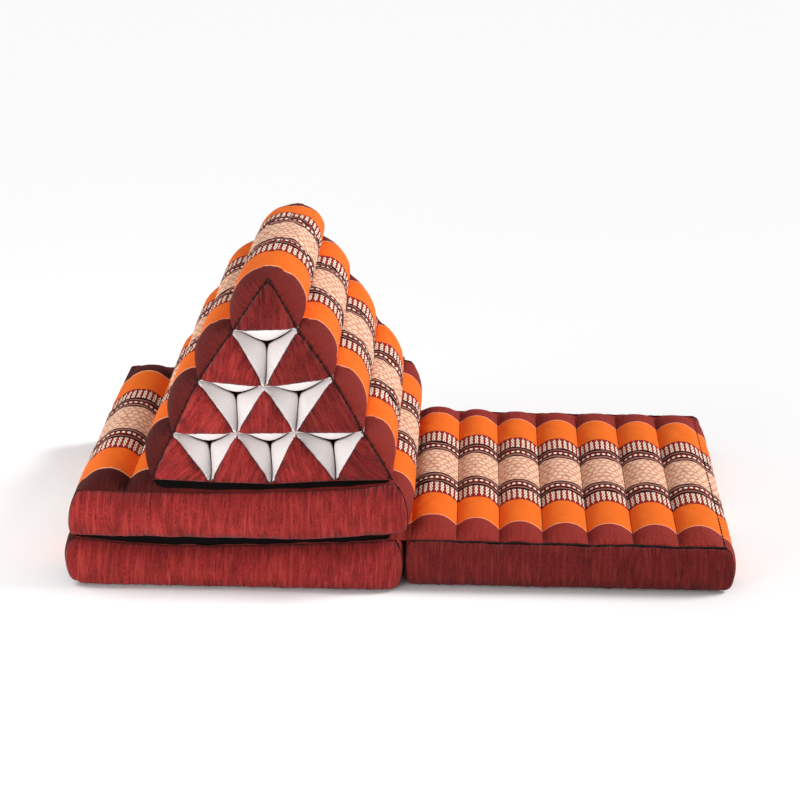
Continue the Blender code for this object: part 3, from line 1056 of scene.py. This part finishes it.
covers = [(pads[pad.name], pad_holds(pad)) for pad in PADS]
covers += [(piece, roll_holds(row, place)) for (row, place), piece in rolls.items()]
for piece, holds in covers:
    prepare_stuffing(piece, holds)
for step in range(1, STUFFING_STEPS + 1):
    bpy.context.scene.frame_set(step)
for piece, holds in covers:
    usual, most = [round(value * 1000, 2) for value in finish_stuffing(piece)]
    print(piece.name, "swelled", usual, "mm on average, and without the cap", most, "mm at most")
bpy.context.scene.frame_set(1)


# %% Soften the pads
SEWN_CREASE = 0.8


def crease_sewn_lines(piece):
    """Creases along the sewn lines of a pad's top."""
    layer = piece.data.attributes.new("crease_edge", "FLOAT", "EDGE")
    values = []
    last = len(ALONG) * RING_POINTS
    for edge in piece.data.edges:
        a, b = edge.vertices
        column = a % RING_POINTS
        lengthwise = a < last and b < last and column == b % RING_POINTS
        sewn = lengthwise and column < len(ACROSS) and column % COLUMNS_PER_CHANNEL == 0
        values.append(SEWN_CREASE if sewn else 0.0)
    layer.data.foreach_set("value", values)


for pad in PADS:
    piece = pads[pad.name]
    crease_sewn_lines(piece)
    apply_modifier(piece, "SUBSURF", levels=1, render_levels=1)
    print(piece.name, "now has", *measure(piece), "points and faces")


# %% Dress the pads and the rolls
# Where the painted light on the dark end band begins and where it is full, along x
PAINTED_LIGHT_START = -0.36
PAINTED_LIGHT_END = 0.06
PULL_REACH = 0.060


def set_amount(piece, name, values):
    piece.data.attributes.new(name, "FLOAT", "POINT").data.foreach_set("value", values)


def mark_cover(piece, end):
    """Note how near each point is to the end seams, and how much painted light the cloth's dark end gets: it
    is lighter towards the right, where the light falls.
    """
    places = places_of(piece)
    set_amount(piece, "pull", np.clip(1.0 - (end - np.abs(places[:, 1])) / PULL_REACH, 0.0, 1.0))
    painted_light = (places[:, 0] - PAINTED_LIGHT_START) / (PAINTED_LIGHT_END - PAINTED_LIGHT_START)
    set_amount(piece, "painted_light", np.clip(painted_light, 0.0, 1.0))


def dress(piece, material_slot, *nodes):
    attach(piece, "root")
    if nodes:
        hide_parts(*nodes)
    return piece


for pad in PADS:
    piece = pads[pad.name]
    dress(piece, "striped_cloth", "pad_" + pad.name)
    mark_cover(piece, PAD_DEPTH / 2)
for (row, place), piece in rolls.items():
    dress(piece, "striped_cloth", f"roll_{row + 1}_{place + 1}")
    mark_cover(piece, END_PLANE)
print("covers ride on", body_of(piece))

# %% [markdown]
# ## End triangles
# Each end of a roll is closed by a triangle of plain red cloth, a little puffed by the stuffing. Its edges
# are gathered where they meet the white lining, and its corners stop just short of each other, so that the
# lining shows as a small star between them.

# %% Sew the end triangles
CAP_STEPS = 20
CAP_THICKNESS = 0.0012
CAP_DOME = 0.0075
EDGE_INSET = 0.0008
CORNER_INSET = 0.0045
CAP_CORNER = 0.20
CAP_EDGE = 0.05
CAP_WAVE = 0.0007
CAP_CRUMPLE = 0.0040
CAP_LIFT = 0.0004
CAP_PULL = 0.22
CAP_TURN = 0.5
# Painted shade on the end triangles: the right-hand column, with the apex, is darkened most, and three next to
# it a little
CAP_PAINTED_SHADE = {(0, 0): 0.65, (1, 1): 0.55, (2, 2): 0.65, (3, 3): 0.55, (1, 0): 0.10, (2, 1): 0.12, (3, 2): 0.10}


def cap_point(corners, weights, out, seed):
    """A point of an end triangle from its three barycentric weights."""
    middle = sum(corners, Vector()) / 3
    flat = sum((corner * weight for corner, weight in zip(corners, weights)), Vector())
    near_corner = max(0.0, 1.0 - (1.0 - max(weights)) / CAP_CORNER) ** 1.5
    near_edge = max(0.0, 1.0 - min(weights) / CAP_EDGE)
    wave = noise.noise(flat * 160 + Vector((seed, 0, 0))) * CAP_WAVE
    inset = CORNER_INSET * near_corner + (EDGE_INSET + wave) * near_edge
    puff = (27 * weights[0] * weights[1] * weights[2]) ** 0.55
    folds = abs(noise.noise(flat * 85 + Vector((seed, 3, 0)))) - 0.25
    crumple = folds * CAP_CRUMPLE * 4 * puff * (1.0 - puff)
    proud = CAP_DOME * puff + GAP + crumple + CAP_LIFT
    return step_in(flat, middle, inset) + Vector((0.0, out * proud, 0.0))


def sew_cap(row, place, out, side):
    y = out * END_PLANE
    corners = [lattice_point(row + down, place + right, y) for down, right in ((0, 0), (1, 0), (1, 1))]
    pattern = Pattern()
    numbers, pulls = {}, []
    for a in range(CAP_STEPS + 1):
        for b in range(CAP_STEPS + 1 - a):
            weights = (a / CAP_STEPS, b / CAP_STEPS, 1.0 - (a + b) / CAP_STEPS)
            numbers[a, b] = pattern.point(cap_point(corners, weights, out, row * 7 + place))
            pulls.append(max(0.0, 1.0 - min(weights) / CAP_PULL))
    turned = Matrix.Rotation(CAP_TURN * (place - row / 2), 3, "Y")
    for a in range(CAP_STEPS):
        for b in range(CAP_STEPS - a):
            cells = [((a, b), (a + 1, b), (a, b + 1))]
            if a + b < CAP_STEPS - 1:
                cells.append(((a + 1, b), (a + 1, b + 1), (a, b + 1)))
            for cell in cells:
                corner_numbers = [numbers[key] for key in cell]
                places = [turned @ pattern.points[n] for n in corner_numbers]
                pattern.face(corner_numbers, [(p.x, p.z) for p in places])
    piece = pattern.sew(f"end_triangle_{side}_{row + 1}_{place + 1}", red_cloth)
    face_out(piece, out)
    set_amount(piece, "pull", pulls)
    set_amount(piece, "painted_shade", [CAP_PAINTED_SHADE.get((row, place), 0.0)] * len(pulls))
    apply_modifier(piece, "SOLIDIFY", thickness=CAP_THICKNESS, offset=1.0)
    dress(piece, "end_cloth", f"end_{side}_{row + 1}_{place + 1}")
    return piece


def face_out(piece, out):
    """Turn an open sheet's faces towards the front or the back."""
    if piece.data.polygons[0].normal.y * out < 0:
        edit(piece, bpy.ops.mesh.flip_normals)


caps = [sew_cap(row, place, out, side) for row, place in PLACES for out, side in ENDS]
print(len(caps), "end triangles")

# %% [markdown]
# ## Pocket linings
# The sides of the pockets are lined with white cloth: it runs from the seams of the end triangles down to the
# Y where the rolls meet. It is a thin sheet over the sides of each roll, with a hem that turns in under the
# end triangle.

# %% Line the pockets
LINING_STEPS = 10
LINING_THICKNESS = 0.0006
LINING_LIFT = 0.0003
HEM = 0.007
HEM_STEPS = 2
PULL_UNDER_SEAM = 0.012


def line_pockets(row, place, out, side):
    """White cloth over those sides of a roll's end that face a pocket."""
    pattern = Pattern()
    pulls = []
    sides, middle = roll_sides(row, place, 0.0, out * END_PLANE)
    for n, (kind, _) in enumerate(sides):
        if kind != "pocket":
            continue
        rows, flat = [], []
        for step in range(-HEM_STEPS, LINING_STEPS + 1):
            depth = max(0.0, POCKET_DEPTH * step / LINING_STEPS)
            stations, centre = roll_sides(row, place, depth, out * (END_PLANE - depth))
            points = stations[n].points + stations[(n + 1) % 3].points[:1]
            turned_in = HEM * max(0, -step) / HEM_STEPS
            rows.append([pattern.point(step_in(p, centre, LINING_LIFT + turned_in)) for p in points])
            flat.append([(0.1 * n + 0.095 * i / (len(points) - 1), 0.003 * step) for i in range(len(points))])
            pulls += [max(0.0, 1.0 - depth / PULL_UNDER_SEAM)] * len(points)
        pattern.grid(rows, flat)
    if not pattern.faces:
        return None
    piece = pattern.sew(f"pocket_lining_{side}_{row + 1}_{place + 1}", white_lining)
    face = piece.data.polygons[len(piece.data.polygons) // 2]
    if (face.center - middle).dot(face.normal) < 0:
        edit(piece, bpy.ops.mesh.flip_normals)
    set_amount(piece, "pull", pulls)
    apply_modifier(piece, "SOLIDIFY", thickness=LINING_THICKNESS, offset=-1.0)
    dress(piece, "pocket_cloth")
    count = sum(kind == "pocket" for kind, _ in sides)
    return piece


linings = [line_pockets(row, place, out, side) for row, place in PLACES for out, side in ENDS]
print(len(linings) - linings.count(None), "linings")

# %% [markdown]
# ## Front and back panels
# A strip of plain red cloth closes the front and the back of each pad. It is cut from the pad's own end
# wall, lifted by a hair and given the thickness of cloth, so that it follows every swell of the stuffing.

# %% Sew the panels
PANEL_THICKNESS = 0.0012
PANEL_LIFT = 0.0005
PANEL_PULL_REACH = 0.35
LEAST_PULL = 0.15
# Painted shade on the panels: the seat's much darker, the middle's a little
PANEL_PAINTED_SHADE = {"seat": 0.80, "middle": 0.12, "upper": 0.0}


def panel_wrinkle(x, up, seed):
    """Upright wrinkles: strong under the top seam, weaker over the bottom seam and in the middle."""
    near_top, near_bottom = fade(1.0 - up, 0.75), fade(up, 0.40)
    fine = abs(noise.noise(Vector((x * 78, up * 0.7, seed)))) ** 0.7
    broad = 0.5 + 0.5 * noise.noise(Vector((x * 21 + up * 0.8, up * 0.9, seed + 5)))
    patch = smooth(0.5 + noise.noise(Vector((x * 9, 0.0, seed + 9))))
    rim = min(1.0, up / 0.05, (1.0 - up) / 0.05)
    strength = 0.0060 * near_top * (0.30 + patch) + 0.0025 * near_bottom + 0.0012
    return rim * (strength * fine + 0.0020 * broad)


def sew_panel(pad, out, side):
    """The end wall of a pad as a sheet of its own: the pad is copied, and its other faces are deleted."""
    body = pads[pad.name]
    choose(body)
    bpy.ops.object.duplicate()
    piece = bpy.context.object
    piece.name = f"{pad.name}_panel_{side}"
    zone = [item.value for item in piece.data.attributes["zone"].data]
    for polygon in piece.data.polygons:
        polygon.select = not (zone[polygon.index] == 1 and polygon.center.y * out > 0)
    choose(piece)
    bpy.context.tool_settings.mesh_select_mode = (False, False, True)
    bpy.ops.object.mode_set(mode="EDIT")
    bpy.ops.mesh.delete(type="FACE")
    bpy.ops.object.mode_set(mode="OBJECT")
    piece.data.materials.clear()
    piece.data.materials.append(red_cloth)
    pulls = []
    low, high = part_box("pad_" + pad.name)
    piece.data.attributes.remove(piece.data.attributes["pull"])
    for vert in piece.data.vertices:
        up = (vert.co.z - low[2]) / (high[2] - low[2])
        pulls.append(max(LEAST_PULL, 1.0 - min(1.0 - up, up) / PANEL_PULL_REACH))
        wrinkle = panel_wrinkle(vert.co.x, min(1.0, max(0.0, up)), low[0] * 40 + out)
        vert.co.y += out * (PANEL_LIFT + wrinkle)
    set_amount(piece, "pull", pulls)
    set_amount(piece, "painted_shade", [PANEL_PAINTED_SHADE[pad.name]] * len(pulls))
    apply_modifier(piece, "SOLIDIFY", thickness=PANEL_THICKNESS, offset=1.0)
    # The copy starts without the marks that dress() put on the pad
    for key in list(piece.keys()):
        if key.startswith("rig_"):
            del piece[key]
    dress(piece, "end_cloth", f"panel_{pad.name}_{side}")
    return piece


panels = [sew_panel(pad, out, side) for pad in PADS for out, side in ENDS]
print(len(panels), "panels")

# %% [markdown]
# ## Thread
# The seams are what makes the cushion look sewn. They are closed by hand with a thick dark thread, twisted
# from two strands. A long thread or a piping is a curve through the points of its seam, given a round section
# and then made a mesh. A stitch is a small bead of thread: one is shaped from a sphere and copied along the
# seam, each copy at its own angle, before the copies of one seam are joined.

# %% Twist the threads
TWIST_PITCH = 0.0015


def twist_thread(name, dark, light):
    c = Loom(name, roughness=0.7, sheen=0.05)
    x, y, z = c.place("Object")
    along = c.add(c.add(x, y), c.times(z, 1.3))
    twist = c.math("SINE", c.times(along, math.tau / TWIST_PITCH))
    patchy = c.streaks(along, z, 0.004, 0.004)
    colour = c.mix(c.between(twist, -1.0, 1.0), dark, light)
    colour = c.mix(c.times(c.between(patchy, 0.5, 0.8), 0.4), colour, light)
    return c.finish(colour, twist, 0.0002)


dark_thread = twist_thread("dark_thread", dye(20, 7, 8), dye(58, 20, 20))
red_piping = twist_thread("red_piping", dye(112, 34, 32), dye(158, 56, 52))
print("threads:", dark_thread.name, "and", red_piping.name)

# %% Lay a long thread
THREAD_RADIUS = 0.0010


def lay_thread(name, points, radius, material):
    """A round thread or piping through the points."""
    path = bpy.data.curves.new(name, "CURVE")
    path.dimensions = "3D"
    path.bevel_depth = radius
    path.bevel_resolution = 1
    path.use_fill_caps = True
    spline = path.splines.new("POLY")
    spline.points.add(len(points) - 1)
    for knot, point in zip(spline.points, points):
        knot.co = (*point, 1.0)
    choose(add_object(name, path))
    bpy.ops.object.convert(target="MESH")
    piece = bpy.context.object
    piece.data.materials.append(material)
    piece.data.shade_smooth()
    return dress(piece, "end_cloth")


def walk(points, pitch):
    """Places at equal steps along a line of points, with the direction there."""
    left = pitch / 2
    for a, b in zip(points, points[1:]):
        length = (b - a).length
        while left <= length:
            yield a.lerp(b, left / length), (b - a).normalized()
            left += pitch
        left -= length


# %% Make stitches
Stitch = namedtuple("Stitch", "place ahead length")


def shape_stitch(radius, material):
    """A bead of thread two radii long, which is stretched when it is copied."""
    bpy.ops.object.select_all(action="DESELECT")
    bpy.ops.mesh.primitive_uv_sphere_add(segments=6, ring_count=4, radius=radius)
    bead = bpy.context.object
    edit(bead, bpy.ops.transform.resize, value=(1.0, 0.8, 1.0))
    bead.data.shade_smooth()
    bead.data.materials.append(material)
    return bead


def sew_stitches(name, plan, radius, material):
    """Copies of one bead along a seam, joined in one piece."""
    bead = shape_stitch(radius, material)
    copies = []
    for place, ahead, length in plan:
        copy = add_object(name, bead.data.copy())
        turned = Vector(ahead).to_track_quat("Z", "Y").to_matrix().to_4x4()
        stretched = Matrix.Diagonal((1.0, 1.0, length / (2 * radius), 1.0))
        copy.data.transform(Matrix.Translation(place) @ turned @ stretched)
        copies.append(copy)
    bpy.data.objects.remove(bead)
    choose(copies[0])
    for copy in copies:
        copy.select_set(True)
    bpy.ops.object.join()
    piece = bpy.context.object
    piece.name = name
    return dress(piece, "end_cloth")


print("one stitch is a bead of", THREAD_RADIUS * 2000, "mm thread")

# %% [markdown]
# ## Ladder seams on the slopes
# The end triangles of the outer rolls are sewn on by hand, with a ladder of short stitches across the seam.
# A wavy thread lies in the seam, and the stitches lean one way and then the other.

# %% Sew the slopes
LADDER_PITCH = 0.0046
LADDER_RUNGS = {"front": 0.0072, "back": 0.0054}
RUNG_RADIUS = 0.0010
SEAM_WAVE = 0.0040
SEAM_STEPS = 24
SEAM_PROUD = 0.0012


def slope_seam(row, right_side, out):
    """The seam between an outer roll and its end triangle."""
    y = out * (END_PLANE + SEAM_PROUD)
    top = lattice_point(row, row if right_side else 0, y)
    low = lattice_point(row + 1, row + 1 if right_side else 0, y)
    points = []
    for n in range(SEAM_STEPS + 1):
        point = top.lerp(low, n / SEAM_STEPS)
        wave = noise.noise(Vector((n * 0.9, row, y * 9 + right_side)))
        point.x += SEAM_WAVE * wave * math.sin(math.pi * n / SEAM_STEPS)
        points.append(point)
    return points


for out, side in ENDS:
    rungs = []
    for row in range(LATTICE_ROWS):
        for right_side in (False, True):
            points = slope_seam(row, right_side, out)
            name = f"seam_{side}_{row + 1}_{'right' if right_side else 'left'}"
            lay_thread(name, points, THREAD_RADIUS, dark_thread)
            for n, (place, ahead) in enumerate(walk(points, LADDER_PITCH)):
                across = ahead.cross(Vector((0.0, 1.0, 0.0)))
                tilt = 0.5 * (-1) ** n + 0.8 * noise.noise(place * 300)
                rungs.append(Stitch(place, across + ahead * tilt, LADDER_RUNGS[side]))
    sew_stitches("ladder_" + side, rungs, RUNG_RADIUS, dark_thread)
    print(side, "ladder has", len(rungs), "stitches")

# %% [markdown]
# ## Painted shadow strips
# Where the triangle is joined to the upper pad, and where the upper pad is folded onto the middle one, the gap
# is in deep shade. A near-black sheet with fine ribs stands there as painted shadow: it hangs from the seam
# down to the pad below, and under the triangle its foot reaches forward a little.

# %% Weave the painted shadow strip
RIB_PITCH = 0.0016


def weave_painted_shadow_strip():
    c = Loom("dark_strip", roughness=0.9, sheen=0.0)
    u, _, _ = c.place("UV")
    ribs = c.math("SINE", c.times(u, math.tau / RIB_PITCH))
    # Near-black as painted shadow, with slightly lighter ribs
    colour = c.mix(c.between(ribs, -1.0, 1.0), dye(6, 3, 4), dye(20, 8, 9))
    return c.finish(colour, ribs, 0.0003)


dark_strip = weave_painted_shadow_strip()
print("dark tape has a rib every", RIB_PITCH * 1000, "mm")


# %% Hang a strip
STRIP_STEPS = 4
STRIP_LIFT = 0.0006
LEAST_DROP = 0.0004
STRIP_THICKNESS = 0.0008


def top_height(pad, x, y):
    """Height of a pad's top at a place."""
    across = np.interp(x - DRAWING_START, [line.x for line in pad.lines], range(CHANNELS + 1))
    return pad_point(pad, float(across), y + PAD_DEPTH / 2, 1.0).z


def hang_shadow_strip(name, upper, floor_pad, out, reach=0.0):
    """A near-black strip of painted shadow that hangs from a line of points down to the pad below, and reaches
    forward on it.
    """
    pattern = Pattern()
    lines = []
    for step in range(STRIP_STEPS + 1):
        part = step / STRIP_STEPS
        line = []
        for n, p in enumerate(upper):
            from_end = min(n, len(upper) - 1 - n)
            y = p.y + out * reach * part * fill_out(from_end, len(upper) / 3)
            low = min(top_height(floor_pad, p.x, y) + STRIP_LIFT, p.z - LEAST_DROP)
            low = mix(p.z - LEAST_DROP, low, fill_out(from_end, 2))
            line.append(Vector((p.x, y, mix(p.z, low, part))))
        lines.append(line)
    rows = [[pattern.point(p) for p in line] for line in lines]
    drop = sum((b - a).length for a, b in zip(lines[0], lines[-1])) / len(upper)
    length = sum((b - a).length for a, b in zip(upper, upper[1:]))
    pattern.grid(rows, [[(p.x, drop * step / STRIP_STEPS) for p in upper] for step in range(STRIP_STEPS + 1)])
    piece = pattern.sew(name, dark_strip)
    face_out(piece, out)
    apply_modifier(piece, "SOLIDIFY", thickness=STRIP_THICKNESS, offset=-1.0)
    dress(piece, "end_cloth")
    return piece


# %% Close the base of the triangle
STRIP_BACK = 0.001
STRIP_REACH = 0.0055
WHIP_PITCH = 0.0042
WHIP_LENGTH = 0.0050
BASE_ROPE = 0.0009
WHIP_RADIUS = 0.0008
BASE_POINTS = 12


def base_line(out, back):
    """The bottom edge of the triangle, from its left corner to its right corner."""
    y = out * (END_PLANE - back)
    corners = [lattice_point(LATTICE_ROWS, place, y) for place in range(LATTICE_ROWS + 1)]
    points = []
    for a, b in zip(corners, corners[1:]):
        points += [a.lerp(b, n / BASE_POINTS) for n in range(BASE_POINTS)]
    return points + corners[-1:]


for out, side in ENDS:
    upper = [p + Vector((0.0, 0.0, 0.0005)) for p in base_line(out, STRIP_BACK)]
    # Painted shadow in the gap under the base of the triangle
    strip = hang_shadow_strip("base_strip_" + side, upper, UPPER_PAD, out, STRIP_REACH)
    rope = [p + Vector((0.0, 0.0, 0.0004)) for p in base_line(out, -0.0010)]
    lay_thread("base_seam_" + side, rope, BASE_ROPE, red_piping)
    whips = []
    for place, ahead in walk(rope, WHIP_PITCH):
        lean = ahead * 0.6 + Vector((0.0, 0.0, 1.0))
        whips.append(Stitch(place + Vector((0.0, out * 0.0008, 0.0024)), lean, WHIP_LENGTH))
    sew_stitches("base_stitches_" + side, whips, WHIP_RADIUS, dark_thread)
    print(side, "base has", len(whips), "stitches, and its strip is", *measure(strip), "points and faces")

# %% Close the fold between two pads
BAND_DEPTH = 0.0042

for out, side, along in ((-1.0, "front", BAND_DEPTH), (1.0, "back", PAD_DEPTH - BAND_DEPTH)):
    upper = [pad_point(UPPER_PAD, across, along, 0.0) for across in ACROSS[2:-2]]
    # Painted shadow in the fold between the upper and the middle pad
    strip = hang_shadow_strip("fold_strip_" + side, upper, MIDDLE_PAD, out)
    print(side, "fold strip has", *measure(strip), "points and faces")

# %% [markdown]
# ## Hinges
# The three pads are one long cover that folds. A strip of the striped cloth joins the seat pad to the middle
# pad across the gap between them, and another joins the middle pad to the upper pad on the left, where one is
# folded onto the other. Each hinge is a narrow sheet between two seams, and its stripes run on from the pads.

# %% Join the pads
HINGE_STEPS = 6
HINGE_THICKNESS = 0.0008
HINGE_CLOTH = 0.024


def hinge_edge(pad, across, up, aside):
    """A line along one side of a pad, a hair outside it."""
    return [pad_point(pad, across, along, up) + Vector((aside, 0.0, 0.0)) for along in ALONG[2:-2]]


def sew_hinge(name, near, far, sag):
    """A narrow sheet of striped cloth between two lines of points, pushed aside by sag in its middle."""
    pattern = Pattern()
    rows, flat = [], []
    for step in range(HINGE_STEPS + 1):
        part = step / HINGE_STEPS
        line = [a.lerp(b, part) + sag * (4 * part * (1 - part)) for a, b in zip(near, far)]
        rows.append([pattern.point(p) for p in line])
        flat.append([(HINGE_CLOTH * part, p.y) for p in line])
    pattern.grid(rows, flat)
    piece = pattern.sew(name, striped_cloth)
    apply_modifier(piece, "SOLIDIFY", thickness=HINGE_THICKNESS, offset=0.0)
    dress(piece, "striped_cloth")
    mark_cover(piece, PAD_DEPTH / 2)
    return piece


near = hinge_edge(MIDDLE_PAD, float(CHANNELS), 1.0, 0.0005)
far = hinge_edge(SEAT_PAD, 0.0, 1.0, -0.0005)
hinge = sew_hinge("hinge_seat_middle", near, far, Vector((0.0, 0.0, -0.0045)))
print("hinge between seat and middle pad has", *measure(hinge), "points and faces")
near = hinge_edge(UPPER_PAD, 0.0, 0.0, -0.0008)
far = hinge_edge(MIDDLE_PAD, 0.0, 1.0, -0.0008)
aside = Vector((-0.003, 0.0, 0.0))
hinge = sew_hinge("hinge_middle_upper", near, far, aside)
print("hinge between middle and upper pad has", *measure(hinge), "points and faces")

# %% [markdown]
# ## Seams of the pads
# A thick dark welt runs along the front top edge of the seat pad, and a row of large hand stitches along its
# right edge. The folded pads have thin red pipings above and below the dark gap. A dark thread closes every
# corner of the panels, and a thin one runs along each sewn line between two channels of the seat pad and of
# the upper pad. Each line of points is read from the pad's own surface, so a seam follows every channel.

# %% Lines along the edges of a pad
WELT_WAVE = 0.0026


def pad_edge(pad, up, along, lift):
    """The seam between a pad's striped cloth and its end panel."""
    out = -1.0 if along < PAD_DEPTH / 2 else 1.0
    points = []
    for across in ACROSS[::2]:
        wave = WELT_WAVE * noise.noise(Vector((across * 2.3, along, up)))
        away = Vector((0.0, out * lift, lift * (2 * up - 1) + wave))
        points.append(pad_point(pad, across, along, up) + away)
    return points


# %% Lay welts and pipings
WELT_RADIUS = 0.0019
PIPING_RADIUS = 0.0012
BACK_PIPING_RADIUS = 0.0008
TOP_PIPING_RADIUS = 0.0007

lay_thread("welt_seat_front", pad_edge(SEAT_PAD, 1.0, 0.0, 0.0008), WELT_RADIUS, dark_thread)
lay_thread("welt_seat_back", pad_edge(SEAT_PAD, 1.0, PAD_DEPTH, 0.0008), BACK_PIPING_RADIUS, red_piping)
for along, side in ((0.0, "front"), (PAD_DEPTH, "back")):
    lay_thread("lip_upper_" + side, pad_edge(UPPER_PAD, 0.0, along, 0.0008), PIPING_RADIUS, red_piping)
    lay_thread("lip_middle_" + side, pad_edge(MIDDLE_PAD, 1.0, along, 0.0008), PIPING_RADIUS, red_piping)
    lay_thread("seam_upper_" + side, pad_edge(UPPER_PAD, 1.0, along, 0.0004), TOP_PIPING_RADIUS, red_piping)
print("welts and pipings are laid, the thickest", WELT_RADIUS * 2000, "mm thick")

# %% Seams at the corners of the panels
CORNER_THREAD = 0.0011

for pad in PADS:
    for across, hand in ((0.0, "left"), (float(CHANNELS), "right")):
        for along, side in ((0.0, "front"), (PAD_DEPTH, "back")):
            line = [pad_point(pad, across, along, up) for up in UPS]
            lay_thread(f"corner_{pad.name}_{side}_{hand}", line, CORNER_THREAD, dark_thread)
print(len(PADS) * 4, "corner seams are laid")

# %% Sew the channels
CHANNEL_THREAD = 0.0006
CHANNEL_LIFT = Vector((0.0, 0.0, 0.0002))

for pad in (SEAT_PAD, UPPER_PAD):
    for channel in range(1, CHANNELS):
        line = [pad_point(pad, float(channel), along, 1.0) + CHANNEL_LIFT for along in ALONG[3:-3]]
        lay_thread(f"channel_seam_{pad.name}_{channel}", line, CHANNEL_THREAD, dark_thread)
print(2 * (CHANNELS - 1), "channel seams are sewn")

# %% Baste the right edge of the seat pad
EDGE_STITCH = 0.0062
EDGE_PITCH = 0.0100
EDGE_LIFT = Vector((0.0006, 0.0, 0.00036))
BASTING_RADIUS = 0.0013

edge = [pad_point(SEAT_PAD, float(CHANNELS), along, 1.0) + EDGE_LIFT for along in ALONG]
basting = []
for place, ahead in walk(edge, EDGE_PITCH):
    skew = 0.35 * noise.noise(place * 90)
    length = EDGE_STITCH * (1.0 + 1.1 * noise.noise(place * 60))
    basting.append(Stitch(place, ahead + Vector((skew, 0.0, 0.0)), length))
sew_stitches("basting_seat_right", basting, BASTING_RADIUS, dark_thread)
print("the seat's right edge has", len(basting), "stitches")
